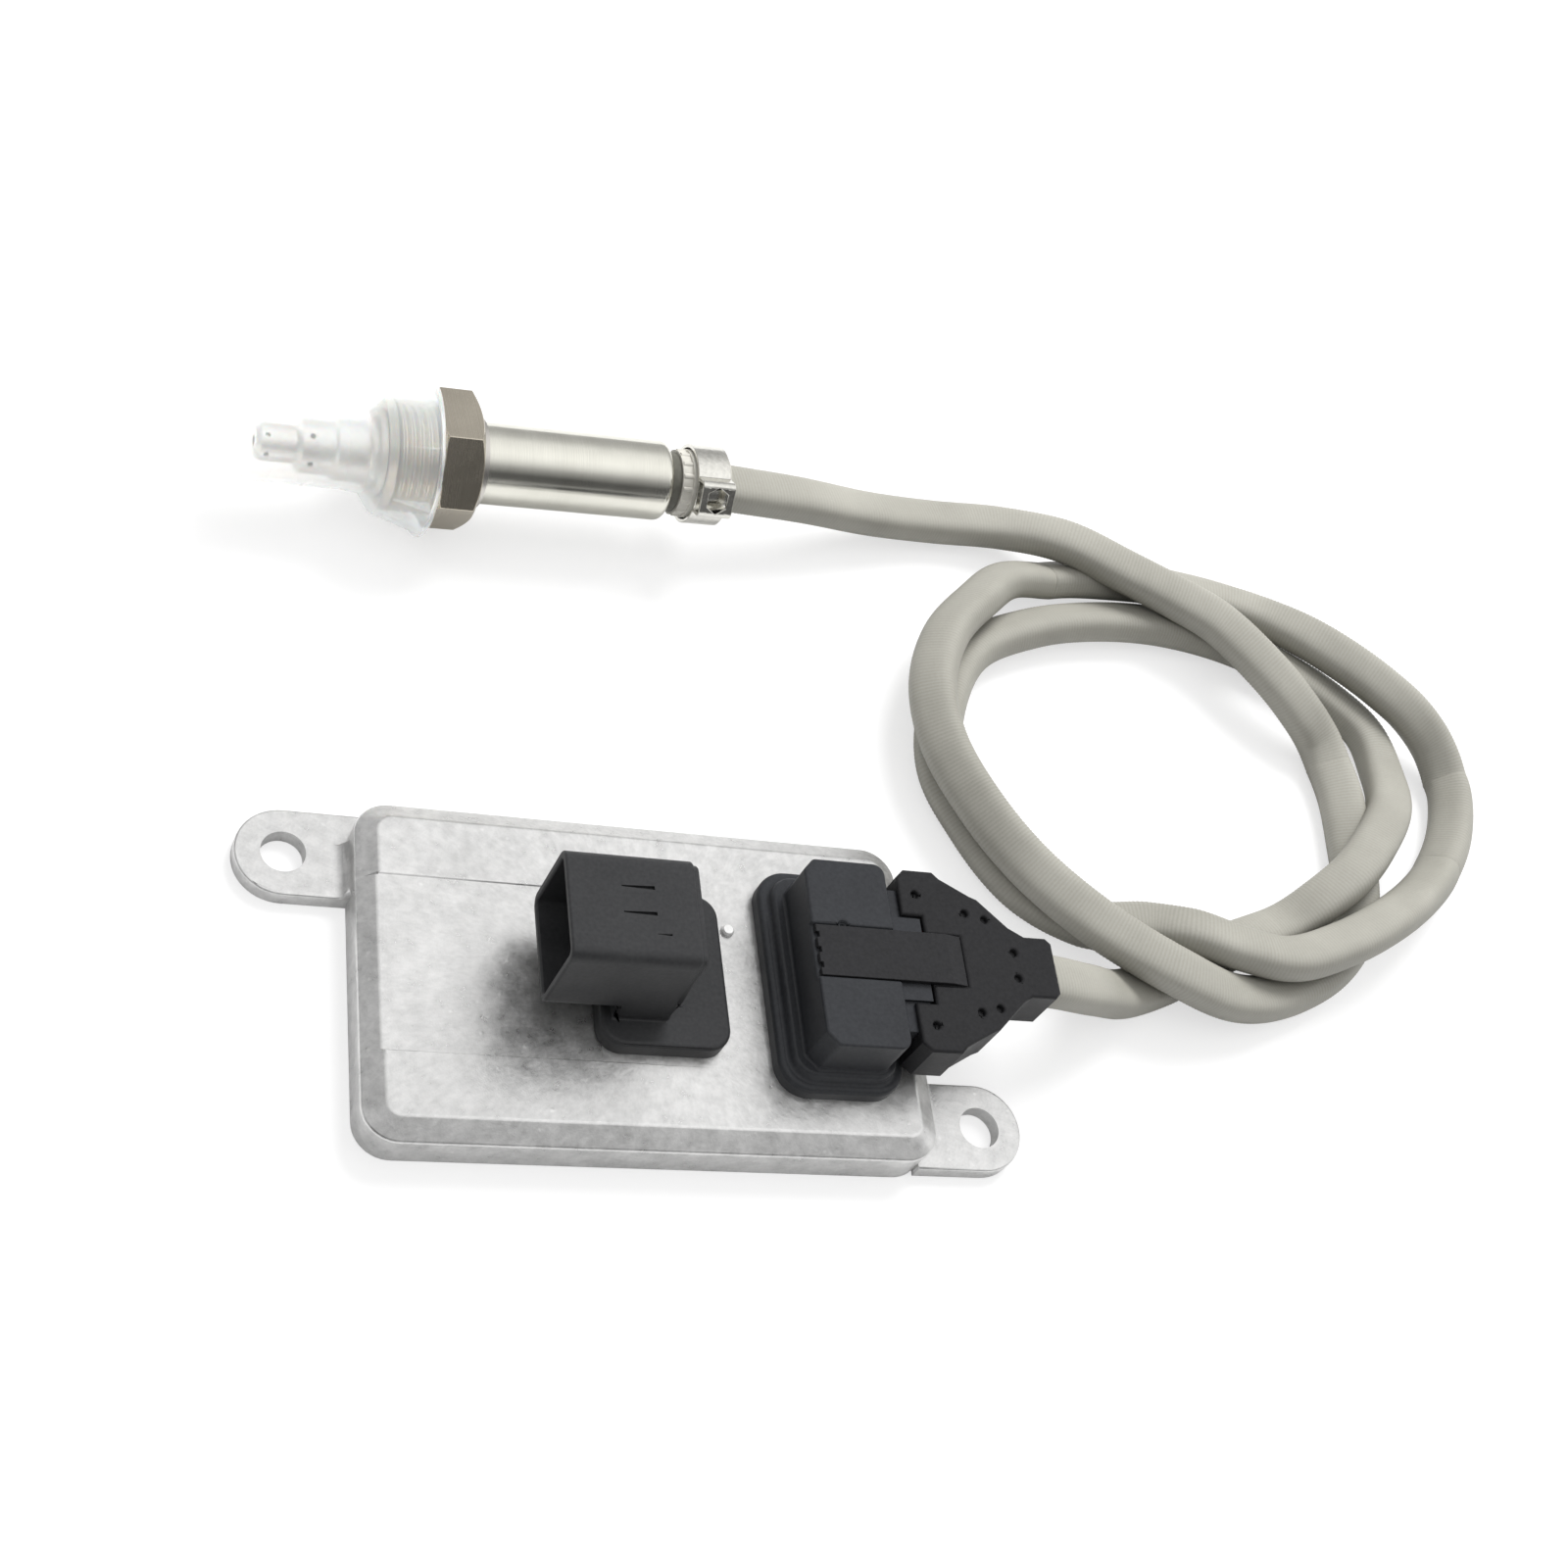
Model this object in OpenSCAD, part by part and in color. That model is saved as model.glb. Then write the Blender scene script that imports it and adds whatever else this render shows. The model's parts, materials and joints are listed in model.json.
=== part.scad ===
// Nitrogen oxide sensor: a cast control unit, a cable and a screw-in probe.
// The unit lies on its base at z = 0, with its long side along X. The cable leaves
// the plug on the right, makes two loops on the floor and ends at the probe.

/* [Control unit] */
// Length of the cast housing
housing_l = 96; // [84:0.5:120]
// Width of the cast housing
housing_w = 58.8; // [54:0.2:80]
// Height of the upright side wall
wall_h = 6.8; // [6:0.1:12]
// Height the bevel rises above the wall
bevel_h = 2.3; // [1:0.1:4]
// Width of the bevel in plan
bevel_w = 3.5; // [1.5:0.1:5]
// Corner radius in plan
corner_r = 6; // [5:0.1:9]
// Thickness of the casting's sides
cast_t = 2.2; // [1.5:0.1:3]
// Thickness of the casting's top
roof_t = 1.8; // [1.2:0.1:2.5]
// Thickness of the base cover
cover_t = 1.5; // [1:0.1:2]
// Width of the rim outside the base cover
rim_w = 1.1; // [0.8:0.1:1.4]
// Thickness of the seal over the cover's edge
seal_t = 0.6; // [0.3:0.1:1]
// Depth of the label recess
recess_depth = 0.3; // [0.1:0.05:0.6]
// Width of the label recess
recess_w = 30.8; // [20:0.2:40]

/* [Mounting ears] */
// Distance between the two ear holes along X
ear_span_x = 116.8; // [112:0.2:150]
// Distance between the two ear holes along Y
ear_span_y = 42.4; // [30:0.2:44]
// Radius of the rounded ear
ear_r = 7.8; // [6:0.1:10]
// Radius of the ear hole
ear_hole_r = 3.65; // [2:0.05:4.5]
// Thickness of the ear
ear_t = 3; // [2:0.1:5]
// Radius of the fillet where the ear meets the wall
ear_fillet_r = 2.4; // [1:0.1:3.5]

/* [Electronics] */
// Thickness of the circuit board
board_t = 1.4; // [0.8:0.1:2]
// Gap between the base cover and the board
board_gap = 1.7; // [1.4:0.1:2.5]
// Space between the board's edge and the casting
board_margin = 1.6; // [0.5:0.1:3]

/* [Data connector] */
// Length of the flange along X
data_flange_l = 22; // [18:0.2:28]
// Width of the flange along Y
data_flange_w = 28; // [24:0.2:34]
// Thickness of the flange
data_flange_t = 3.5; // [2:0.1:5]
// Length of the shroud from its mouth to its back
shroud_l = 22; // [18:0.5:30]
// Width of the shroud
shroud_w = 19; // [16:0.2:24]
// Height of the shroud
shroud_h = 17; // [14:0.2:22]
// Space between the flange and the shroud
shroud_lift = 2.4; // [1:0.1:5]
// Wall of the shroud
shroud_wall = 1.3; // [0.8:0.1:2]
// Depth of the socket
socket_depth = 17; // [10:0.5:20]

/* [Sensor header] */
// Distance from the unit's centre to the header's centre
header_x = 30; // [28:0.2:34]
// Length of the header's flange along X
header_flange_l = 22.2; // [20:0.2:26]
// Width of the header's flange along Y
header_flange_w = 40.4; // [38:0.2:48]
// Thickness of the lower step of the flange
header_step_t = 3.1; // [2:0.1:4]
// Thickness of the upper step of the flange
header_pad_t = 1.6; // [1:0.1:3]
// Length of the header's block
block_l = 14.8; // [12:0.2:18]
// Width of the header's block
block_w = 34; // [32:0.2:38]
// Height of the header's block above its flange
block_h = 8.9; // [8:0.1:12]
// Roof and floor of the header's block
block_wall = 1.5; // [1:0.1:2]
// Back wall of the header's block, which carries the pins
block_back = 5; // [4.6:0.1:6]
// Pins in each of the header's two rows
pins_per_row = 4; // [3:1:5]

/* [Cable plug] */
// Gap between the header's block and the plug's shell
plug_gap = 2.3; // [1:0.1:5]
// Length of the plug's shell
plug_l = 27.6; // [26:0.1:36]
// Width of the plug's shell
plug_w = 33.6; // [32:0.2:40]
// Width of the plug's shell at the cable
plug_tail_w = 11.4; // [11.2:0.2:16]
// Height of the plug's shell
plug_h = 9.4; // [9:0.1:12]
// Width of the plug's insert in the header's socket
insert_w = 26; // [23:0.2:29]
// Width of the insert's deck in the notch of the shell
deck_w = 15.2; // [12:0.2:20]
// Wall of the plug's shell
plug_wall = 1.2; // [0.8:0.1:1.4]
// Width of the locking tongue
tongue_w = 9.2; // [6:0.2:12]
// Thickness of the locking tongue
tongue_t = 0.9; // [0.6:0.1:1.4]

/* [Cable] */
// Width of the flattened cable sleeve
sleeve_w = 9.2; // [8:0.1:9.6]
// Thickness of the flattened cable sleeve
sleeve_t = 6.4; // [5.5:0.1:6.6]

/* [Probe] */
// Radius of the probe's steel housing
can_r = 7.3; // [7.2:0.1:8]
// Length of the probe's steel housing
can_l = 35.4; // [30:0.1:50]
// Wall of the steel housing
can_wall = 0.8; // [0.5:0.1:1]
// Width of the hexagon across its flats
hex_af = 22; // [21:0.5:24]
// Thickness of the hexagon
hex_t = 7.2; // [5:0.1:9]
// Radius of the nut's thread
thread_r = 10; // [9.6:0.1:10.2]
// Length of the nut's thread
thread_l = 9; // [8:0.1:14]
// Radius of the sensor body inside the nut
body_r = 6.5; // [6:0.1:6.8]
// Length of the protection tube in front of the nut
tube_l = 20.4; // [17:0.1:30]
// Wall of the protection tube
tube_wall = 0.5; // [0.3:0.05:0.6]
// Angle of the hexagon about the probe's axis
hex_turn = 22; // [0:1:59]

/* [Sleeve clamp] */
// Outer radius of the clamp's band
band_r = 7.3; // [7:0.1:7.6]
// Width of the clamp's band
band_w = 6.4; // [6:0.1:8]
// Thickness of the clamp's band
band_t = 0.7; // [0.5:0.05:0.8]
// Angle of the clamp's ear above the floor, on the side that faces the unit
clamp_ear_angle = 34; // [20:1:90]

/* [Transport cap] */
// Outer radius of the cap's nose
cap_nose_r = 7; // [6.9:0.1:8]
// Outer radius of the cap's shoulder at the front of the thread
cap_r = 11; // [10.9:0.1:12]
// Outer radius of the cap's skirt at its collar
cap_skirt_r = 13.5; // [12.5:0.1:13.6]
// Radius of the cap's thin collar
cap_collar_r = 14.1; // [14:0.05:16]
// Wall of the cap
cap_wall = 0.7; // [0.6:0.05:1]

/* [Clearances] */
// Gap between parts that fit into each other
fit_gap = 0.15; // [0.05:0.01:0.3]
// Gap of the nut that turns on the sensor body
turn_gap = 0.08; // [0.05:0.01:0.1]
// Gap between the cap and what it covers
cap_gap = 0.35; // [0.2:0.05:0.5]

/* [Hidden] */
$fn = 64;
e = 0.01;
housing_h = wall_h + bevel_h;
ear_x = ear_span_x / 2;
ear_y = ear_span_y / 2;
ledge_z = cover_t + seal_t;
roof_z = housing_h - roof_t;
board_z = cover_t + board_gap;
board_top = board_z + board_t;
board_l = housing_l - 2 * (cast_t + board_margin);
board_w = housing_w - 2 * (cast_t + board_margin);
screw_r = 1.5;
screw_head_r = 2.6;
boss_r = 3.2;
boss_x = housing_l / 2 - cast_t - boss_r + 0.8;
boss_y = housing_w / 2 - cast_t - boss_r + 0.8;
post_r = 2.2;
post_x = board_l / 2 - 12;
post_y = board_w / 2 - 3.4;

// Data connector
data_top = housing_h + data_flange_t;
shroud_z = data_top + shroud_lift;
shroud_back = 0.5;
shroud_x = shroud_back - shroud_l;
shroud_edge_r = 2.2;
data_pin = 1.5;
data_pin_y = [-5.4, -1.8, 1.8, 5.4];
data_pin_z = shroud_z + shroud_h / 2;
data_pin_drop_x = shroud_back - 3;
data_throat_l = 9;
data_throat_w = 16;

// Sensor header
header_throat_l = 6.4;
header_throat_w = 30;
pin_pitch = 6;
pin_size = 1;
wire_r = 0.55;
pad_z = housing_h + header_step_t;
block_z = pad_z + header_pad_t;
block_x = header_x - 7.1;
block_end = block_x + block_l;
block_top = block_z + block_h;
pin_rows = [block_z + block_h / 2 - 1.4, block_z + block_h / 2 + 1.4];
leg_x = [block_x + block_back - 1.2, block_x + 1.3];
header_throat_x = (leg_x[0] + leg_x[1]) / 2;
function pin_y(i) = (i - (pins_per_row - 1) / 2) * pin_pitch;

// Plug
plug_x = block_end + plug_gap;
plug_end = plug_x + plug_l;
plug_top = block_top - 0.6;
plug_z = plug_top - plug_h;
plug_mid = plug_z + plug_h / 2;
insert_x = block_x + block_back + 2 * fit_gap;
insert_end = plug_x + 3;
insert_z = block_z + block_wall + fit_gap;
insert_h = block_h - 2 * (block_wall + fit_gap);
notch_l = 3.8;
contact_size = 2;
contact_x = insert_x + 1;
grommet_depth = 4;
tongue_x = block_x + 0.6;
tongue_z = block_top - tongue_t;
tongue_l = plug_x + 10 - tongue_x;
// Small round holes left by the moulding cores, in pairs: distance from the shell's front, and side
core_holes = [[3, 12.1], [11.8, 9.2], [15.4, 8.3], [19.9, 2.4]];

// Probe: its own X axis runs from the tip to the cable, with x = 0 at the seat of the hexagon.
seat_t = 0.6;
body_flange_r = 7.8;
body_flange_t = 1.2;
body_front = -thread_l - body_flange_t - turn_gap;
collar_r = 8.1;
collar_t = 1.55;
collar_x = hex_t + turn_gap;
can_x = collar_x + collar_t;
can_end = can_x + can_l;
can_roll_r = 1.6;
neck_r = can_r - can_roll_r;
grommet_l = 1.75;
groove_r = 5.5;
boot_x = can_end + grommet_l;
boot_r = 6.3;
boot_l = 9.6;
band_x = boot_x + boot_l - band_w - 0.6;
cable_x = boot_x + boot_l;
tube_base_r = body_r;
tube_x = body_front;
tube_r = [5.6, 4.9, 3.4];
tube_step = [0.33, 0.3];
tube_tip = tube_x - tube_l;
inner_r = 2.6;
bore_r = 4;
element_w = 3.6;
element_t = 1.3;
stack_l = 6;
holder_l = 14;
holder_x = collar_x + collar_t + 8.4;
grommet_in = 7;
spigot_r = 4.6;
wire_spots = [[2.2, 1.6], [-2.2, 1.6], [2.2, -1.6], [-2.2, -1.6]];
clamp_ear_h = 2.5;
ear_half = 3.4;
cap_collar_t = 0.6;
cap_open = -seat_t - 0.3;
cap_collar_x = cap_open - cap_collar_t;
cap_tip = tube_tip - cap_gap - cap_wall - 2.2;
cap_neck = tube_x - 5.4;
cap_flare = tube_x - 1.7;
// The probe rests on the cap's collar, and the stiff cable holds its other end level.
probe_yaw = 3.97;
probe_pos = [-34.57, 97.46, cap_collar_r];

// Cable route on the floor, from the plug to the probe, chosen by hand from the photograph.
route = [
    [80, 1.5, 12.5], [91, 5, 5.5], [102, 9.5, 3.5], [117, 17, 3.5], [132, 23, 4.5], [139, 27, 8],
    [146, 32, 10.5], [154, 40, 10.5], [162, 50, 8], [166.5, 61, 4], [165.5, 71, 3.5],
    [158, 79, 3.5], [147, 85.5, 3.5], [133.5, 90, 3.5], [119, 91.5, 3.5], [104, 90, 3.5],
    [89, 86, 3.5], [74, 78, 3.5], [66, 65, 3.5], [63, 50, 3.5], [67, 39, 3.5], [76, 26, 3.5],
    [88, 20, 3.5], [99, 19, 6.5], [106, 16.5, 10], [115, 13.5, 10.7], [126, 12, 10.7],
    [139, 16, 10.9], [151, 22, 10.9], [163.5, 30.5, 8], [173, 39, 4.5], [179.5, 49, 3.5],
    [182.5, 60, 4], [180, 67.5, 6.5], [174, 73.2, 9.4], [167.5, 78.4, 10.4], [160.5, 84, 10.3],
    [153, 89.8, 9.2], [145.5, 95.4, 6.8], [136, 99.8, 4.6], [123, 102, 3.6],
    [109, 101, 3.5], [96, 99, 4], [84, 95, 7], [75, 87, 9.5], [66, 77, 10.5],
    [61, 65, 10.5], [61, 52, 10.5], [66, 39, 10.5], [74, 27, 10.5], [85, 16, 11.3], [100, 7, 11.3],
    [114, 5, 7], [127, 8, 4], [139, 14, 3.5], [147, 22, 3.5], [151, 31, 3.5], [153, 43, 3.5],
    [154, 56, 3.5], [152, 66, 5], [147, 71, 8], [140, 78, 10.4], [130, 89, 10.7], [121, 94, 10.7],
    [110, 99, 10.7], [98.1, 105.2, 9.6], [86.3, 109.6, 5.6], [71.5, 109.3, 4.6],
    [55.7, 106.5, 7.2], [38.6, 103.6, 11.4]
];
sleeve_sides = 12;

// Shared shapes
module rounded_outline(l, w, r) {
    square([l - 2 * r, w], center = true);
    square([l, w - 2 * r], center = true);
    for (x = [-1, 1], y = [-1, 1])
        translate([x * (l / 2 - r), y * (w / 2 - r)])
            circle(r = r);
}

module rounded_plate(l, w, r, h) {
    linear_extrude(height = h)
        rounded_outline(l, w, r);
}

// A rounded slab whose sides lean in by inset over its height, with cones at the corners.
module leaning_plate(l, w, r, h, inset) {
    for (x = [-1, 1], y = [-1, 1])
        translate([x * (l / 2 - r), y * (w / 2 - r), 0])
            cylinder(h = h, r1 = r, r2 = r - inset);
    rotate([90, 0, 90])
        linear_extrude(height = l - 2 * r, center = true)
            polygon([[-w / 2, 0], [w / 2, 0], [w / 2 - inset, h], [inset - w / 2, h]]);
    rotate([90, 0, 0])
        linear_extrude(height = w - 2 * r, center = true)
            polygon([[-l / 2, 0], [l / 2, 0], [l / 2 - inset, h], [inset - l / 2, h]]);
}

module at_corners(x, y) {
    for (sx = [-1, 1], sy = [-1, 1])
        translate([sx * x, sy * y, 0])
            children();
}

// Turns a profile of [distance along the probe, radius] about the probe's axis.
module turned(profile) {
    rotate([0, 90, 0])
        rotate_extrude()
            polygon([for (p = profile) [p[1], p[0]]]);
}

module ring_x(x, l, r_out, r_in) {
    translate([x, 0, 0])
        rotate([0, 90, 0])
            difference() {
                cylinder(h = l, r = r_out);
                translate([0, 0, -1])
                    cylinder(h = l + 2, r = r_in);
            }
}

module rod_x(x, l, r) {
    translate([x, 0, 0])
        rotate([0, 90, 0])
            cylinder(h = l, r = r);
}

module on_probe() {
    translate(probe_pos)
        rotate([0, 0, probe_yaw])
            children();
}

// Control unit
module ear_outline() {
    circle(r = ear_r);
    translate([0, -ear_r])
        square([ear_x - housing_l / 2 + cast_t, 2 * ear_r]);
}

module mounting_ear() {
    root = ear_x - housing_l / 2;
    // The fillet runs along the wall as far as its rounded corner.
    fillet_l = ear_r + housing_w / 2 - corner_r - ear_y;
    difference() {
        union() {
            linear_extrude(height = ear_t)
                ear_outline();
            // Fillet along the root
            translate([root - ear_fillet_r, fillet_l - ear_r, ear_t])
                rotate([90, 0, 0])
                    linear_extrude(height = fillet_l)
                        difference() {
                            translate([0, -e])
                                square([ear_fillet_r + cast_t / 2, ear_fillet_r + e]);
                            translate([0, ear_fillet_r])
                                circle(r = ear_fillet_r);
                        }
        }
        translate([0, 0, -1])
            cylinder(h = ear_t + 2, r = ear_hole_r);
    }
}

module unit_housing() {
    color("silver")
        difference() {
            union() {
                rounded_plate(housing_l, housing_w, corner_r, wall_h);
                translate([0, 0, wall_h])
                    leaning_plate(housing_l, housing_w, corner_r, bevel_h, bevel_w);
                translate([-ear_x, ear_y, 0])
                    mounting_ear();
                translate([ear_x, -ear_y, 0])
                    rotate([0, 0, 180])
                        mounting_ear();
            }
            // Room for the electronics, with bosses and posts left standing
            translate([0, 0, -e])
                difference() {
                    rounded_plate(housing_l - 2 * cast_t, housing_w - 2 * cast_t,
                        corner_r - cast_t, roof_z + e);
                    translate([0, 0, ledge_z + e])
                        at_corners(boss_x, boss_y)
                            cylinder(h = roof_z, r = boss_r);
                    translate([0, 0, board_top + e])
                        at_corners(post_x, post_y)
                            cylinder(h = roof_z, r = post_r);
                }
            // Rebate for the cover and its seal
            translate([0, 0, -e])
                rounded_plate(housing_l - 2 * rim_w, housing_w - 2 * rim_w,
                    corner_r - rim_w, ledge_z + e);
            at_corners(boss_x, boss_y)
                cylinder(h = roof_z - 0.6, r = screw_r);
            at_corners(post_x, post_y)
                cylinder(h = roof_z - 0.6, r = 1);
            translate([shroud_back - data_throat_l / 2, 0, roof_z - 1])
                rounded_plate(data_throat_l, data_throat_w, 1.5, roof_t + 2);
            translate([header_throat_x, 0, roof_z - 1])
                rounded_plate(header_throat_l, header_throat_w, 1.5, roof_t + 2);
            label_recess();
            translate([13.8, 9.5, roof_z - 1])
                cylinder(h = roof_t + 2, r = 0.6);
        }
}

// Shallow field for a label, open on the left where it runs into the bevel
module label_recess() {
    right = -9.8;
    left = -housing_l / 2 - 1;
    translate([0, 0, housing_h - recess_depth])
        linear_extrude(height = 1) {
            translate([left, -recess_w / 2])
                square([right - left - 1.5, recess_w]);
            translate([left, -recess_w / 2 + 1.5])
                square([right - left, recess_w - 3]);
            for (y = [-1, 1])
                translate([right - 1.5, y * (recess_w / 2 - 1.5)])
                    circle(r = 1.5);
        }
}

module base_cover() {
    color("gainsboro")
        difference() {
            rounded_plate(housing_l - 2 * (rim_w + fit_gap), housing_w - 2 * (rim_w + fit_gap),
                corner_r - rim_w - fit_gap, cover_t);
            at_corners(boss_x, boss_y) {
                translate([0, 0, -1])
                    cylinder(h = cover_t + 2, r = screw_r + 0.2);
                translate([0, 0, -e])
                    cylinder(h = 1.1, r1 = screw_head_r + 0.15, r2 = screw_r + 0.15);
            }
        }
}

module base_seal() {
    color("dimgray")
        translate([0, 0, cover_t])
            difference() {
                rounded_plate(housing_l - 2 * (rim_w + fit_gap), housing_w - 2 * (rim_w + fit_gap),
                    corner_r - rim_w - fit_gap, seal_t);
                translate([0, 0, -1])
                    difference() {
                        rounded_plate(housing_l - 2 * cast_t, housing_w - 2 * cast_t,
                            corner_r - cast_t, seal_t + 2);
                        at_corners(boss_x, boss_y)
                            cylinder(h = seal_t + 2, r = boss_r);
                    }
                at_corners(boss_x, boss_y)
                    translate([0, 0, -1])
                        cylinder(h = seal_t + 2, r = screw_r + 0.2);
            }
}

module cover_screws() {
    color("silver")
        at_corners(boss_x, boss_y)
            difference() {
                union() {
                    cylinder(h = 1.1, r1 = screw_head_r, r2 = screw_r - 0.05);
                    cylinder(h = roof_z - 1, r = screw_r - 0.05);
                }
                translate([0, 0, -e])
                    cylinder(h = 0.8, r = 1.1, $fn = 6);
            }
}

module circuit_board() {
    color("darkgreen")
        translate([0, 0, board_z])
            difference() {
                rounded_plate(board_l, board_w, 2, board_t);
                at_corners(board_l / 2, board_w / 2)
                    translate([0, 0, -1])
                        cylinder(h = board_t + 2, r = boss_r + 1.6);
                at_corners(post_x, post_y)
                    translate([0, 0, -1])
                        cylinder(h = board_t + 2, r = 1.2);
                for (y = data_pin_y)
                    translate([data_pin_drop_x, y, board_t / 2])
                        cube([data_pin + 0.2, 0.8 + 0.2, board_t + 2], center = true);
                for (i = [0 : pins_per_row - 1], j = [0, 1])
                    translate([leg_x[j], pin_y(i), board_t / 2])
                        cube([pin_size + 0.2, pin_size + 0.2, board_t + 2], center = true);
            }
}

module board_parts() {
    color("black")
        translate([0, 0, board_top]) {
            translate([-22, -7, 0]) cube([12, 12, 1.4]);
            translate([-post_x - 3.8, 4.2 - post_y, 0]) cube([7, 9, 1.6]);
            translate([-post_x - 4.8, 6, 0]) cube([9, 6, 2]);
            translate([-20, 10, 0]) cube([8, 5, 1.2]);
            translate([6, 5.6 - board_w / 2, 0]) cube([6, 5, 1.8]);
            translate([8, 12, 0]) cube([6, 6, 1.4]);
            for (i = [0 : 3]) {
                translate([-21 + 4 * i, -14, 0]) cube([2, 1.2, 0.8]);
                translate([-21 + 4 * i, -18, 0]) cube([2, 1.2, 0.8]);
            }
        }
}

module board_screws() {
    color("silver")
        at_corners(post_x, post_y) {
            translate([0, 0, board_z - 1.1])
                cylinder(h = 1.1, r = 1.9);
            translate([0, 0, board_z - 1.1])
                cylinder(h = roof_z - 1 - board_z + 1.1, r = 0.95);
        }
}

module vent_plug() {
    color("whitesmoke")
        translate([13.8, 9.5, 0]) {
            translate([0, 0, roof_z + 0.2])
                cylinder(h = roof_t + 0.1, r = 0.55);
            translate([0, 0, housing_h])
                cylinder(h = 0.5, r = 1.1);
            translate([0, 0, housing_h + 0.5])
                cylinder(h = 0.3, r1 = 1.1, r2 = 0.8);
        }
}

// Data connector
module shroud_outline(inset) {
    translate([0, shroud_h / 2])
        rounded_outline(shroud_w - 2 * inset, shroud_h - 2 * inset, shroud_edge_r - inset);
}

module along_x(x, l) {
    translate([x, 0, 0])
        rotate([90, 0, 90])
            linear_extrude(height = l)
                children();
}

module data_connector() {
    color("#232426")
        difference() {
            union() {
                translate([0, 0, housing_h]) {
                    rounded_plate(data_flange_l, data_flange_w, 4, data_flange_t - 0.4);
                    translate([0, 0, data_flange_t - 0.4])
                        leaning_plate(data_flange_l, data_flange_w, 4, 0.4, 0.4);
                }
                translate([shroud_back - data_throat_l / 2, 0, roof_z])
                    rounded_plate(data_throat_l - 2 * fit_gap, data_throat_w - 2 * fit_gap, 1.3,
                        roof_t + 1);
                // Neck under the shroud
                translate([shroud_back - 9.5, -shroud_w / 2, data_top - e])
                    cube([9.5 - 1, shroud_w, shroud_lift + 3]);
                translate([shroud_back - 1, 1 - shroud_w / 2, data_top - e])
                    cube([1, shroud_w - 2, shroud_lift + 3]);
                for (y = [-1, 1])
                    translate([shroud_back - 1, y * (shroud_w / 2 - 1), data_top - e])
                        cylinder(h = shroud_lift + 3, r = 1);
                translate([0, 0, shroud_z])
                    along_x(shroud_x, shroud_l - 1)
                        shroud_outline(0);
                translate([0, 0, shroud_z])
                    along_x(shroud_back - 1 - e, 1)
                        shroud_outline(0.6);
                // Slope from the shroud's floor down to the neck
                translate([shroud_back - 9.5, shroud_w / 2 - 1.5, shroud_z])
                    rotate([90, 0, 0])
                        linear_extrude(height = shroud_w - 3)
                            polygon([[-shroud_lift, e], [0, e], [0, -shroud_lift]]);
            }
            translate([0, 0, shroud_z])
                along_x(shroud_x - 1, socket_depth + 1)
                    shroud_outline(shroud_wall);
            shroud_slots();
            translate([0, 0, housing_h - e])
                data_seal_shape(0.05);
            data_pin_shapes();
        }
}

// Slots of the locking ribs in the shroud's top
module shroud_slots() {
    z = shroud_z + shroud_h - 0.6;
    translate([-12.9, 2.9, z]) cube([5.4, 0.7, 1]);
    translate([-12.9, -1.6, z]) cube([5.4, 0.7, 1]);
    translate([-7.8, -4.9, z]) cube([2.4, 0.4, 1]);
}

module data_seal_shape(gap) {
    difference() {
        rounded_plate(data_flange_l - 4 + gap, data_flange_w - 4 + gap, 3, 1 + gap);
        translate([0, 0, -1])
            rounded_plate(data_flange_l - 6.4 - gap, data_flange_w - 6.4 - gap, 1.8, 3 + gap);
    }
}

module data_seal() {
    color("dimgray")
        translate([0, 0, housing_h])
            data_seal_shape(0);
}

module data_pin_shapes() {
    for (y = data_pin_y) {
        translate([shroud_x + 5, y - 0.4, data_pin_z - data_pin / 2])
            cube([data_pin_drop_x + data_pin / 2 - shroud_x - 5, 0.8, data_pin]);
        translate([data_pin_drop_x - data_pin / 2, y - 0.4, board_z - 0.8])
            cube([data_pin, 0.8, data_pin_z + data_pin / 2 - board_z + 0.8]);
    }
}

module data_pins() {
    color("silver")
        data_pin_shapes();
}

// Sensor header
module header_pin_shapes() {
    for (i = [0 : pins_per_row - 1], j = [0, 1]) {
        back = leg_x[j] - pin_size / 2;
        translate([back, pin_y(i) - pin_size / 2, pin_rows[j] - pin_size / 2])
            cube([insert_x + 6.5 - back, pin_size, pin_size]);
        translate([back, pin_y(i) - pin_size / 2, board_z - 0.8])
            cube([pin_size, pin_size, pin_rows[j] - board_z + 0.8]);
    }
}

module header_seal_shape(gap) {
    difference() {
        rounded_plate(header_flange_l - 4 + gap, header_flange_w - 4 + gap, 4, 1 + gap);
        translate([0, 0, -1])
            rounded_plate(header_flange_l - 6.4 - gap, header_flange_w - 6.4 - gap, 2.8, 3 + gap);
    }
}

// Plan of the block: its left corners are cut off, its right ones are round.
module block_outline() {
    half = block_w / 2;
    polygon([[0, 2.2 - half], [2, -half], [block_l - 2, -half], [block_l - 2, half],
        [2, half], [0, half - 2.2]]);
    translate([block_l - 3, 2 - half])
        square([3, block_w - 4]);
    for (y = [-1, 1])
        translate([block_l - 2, y * (half - 2)])
            circle(r = 2);
}

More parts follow.
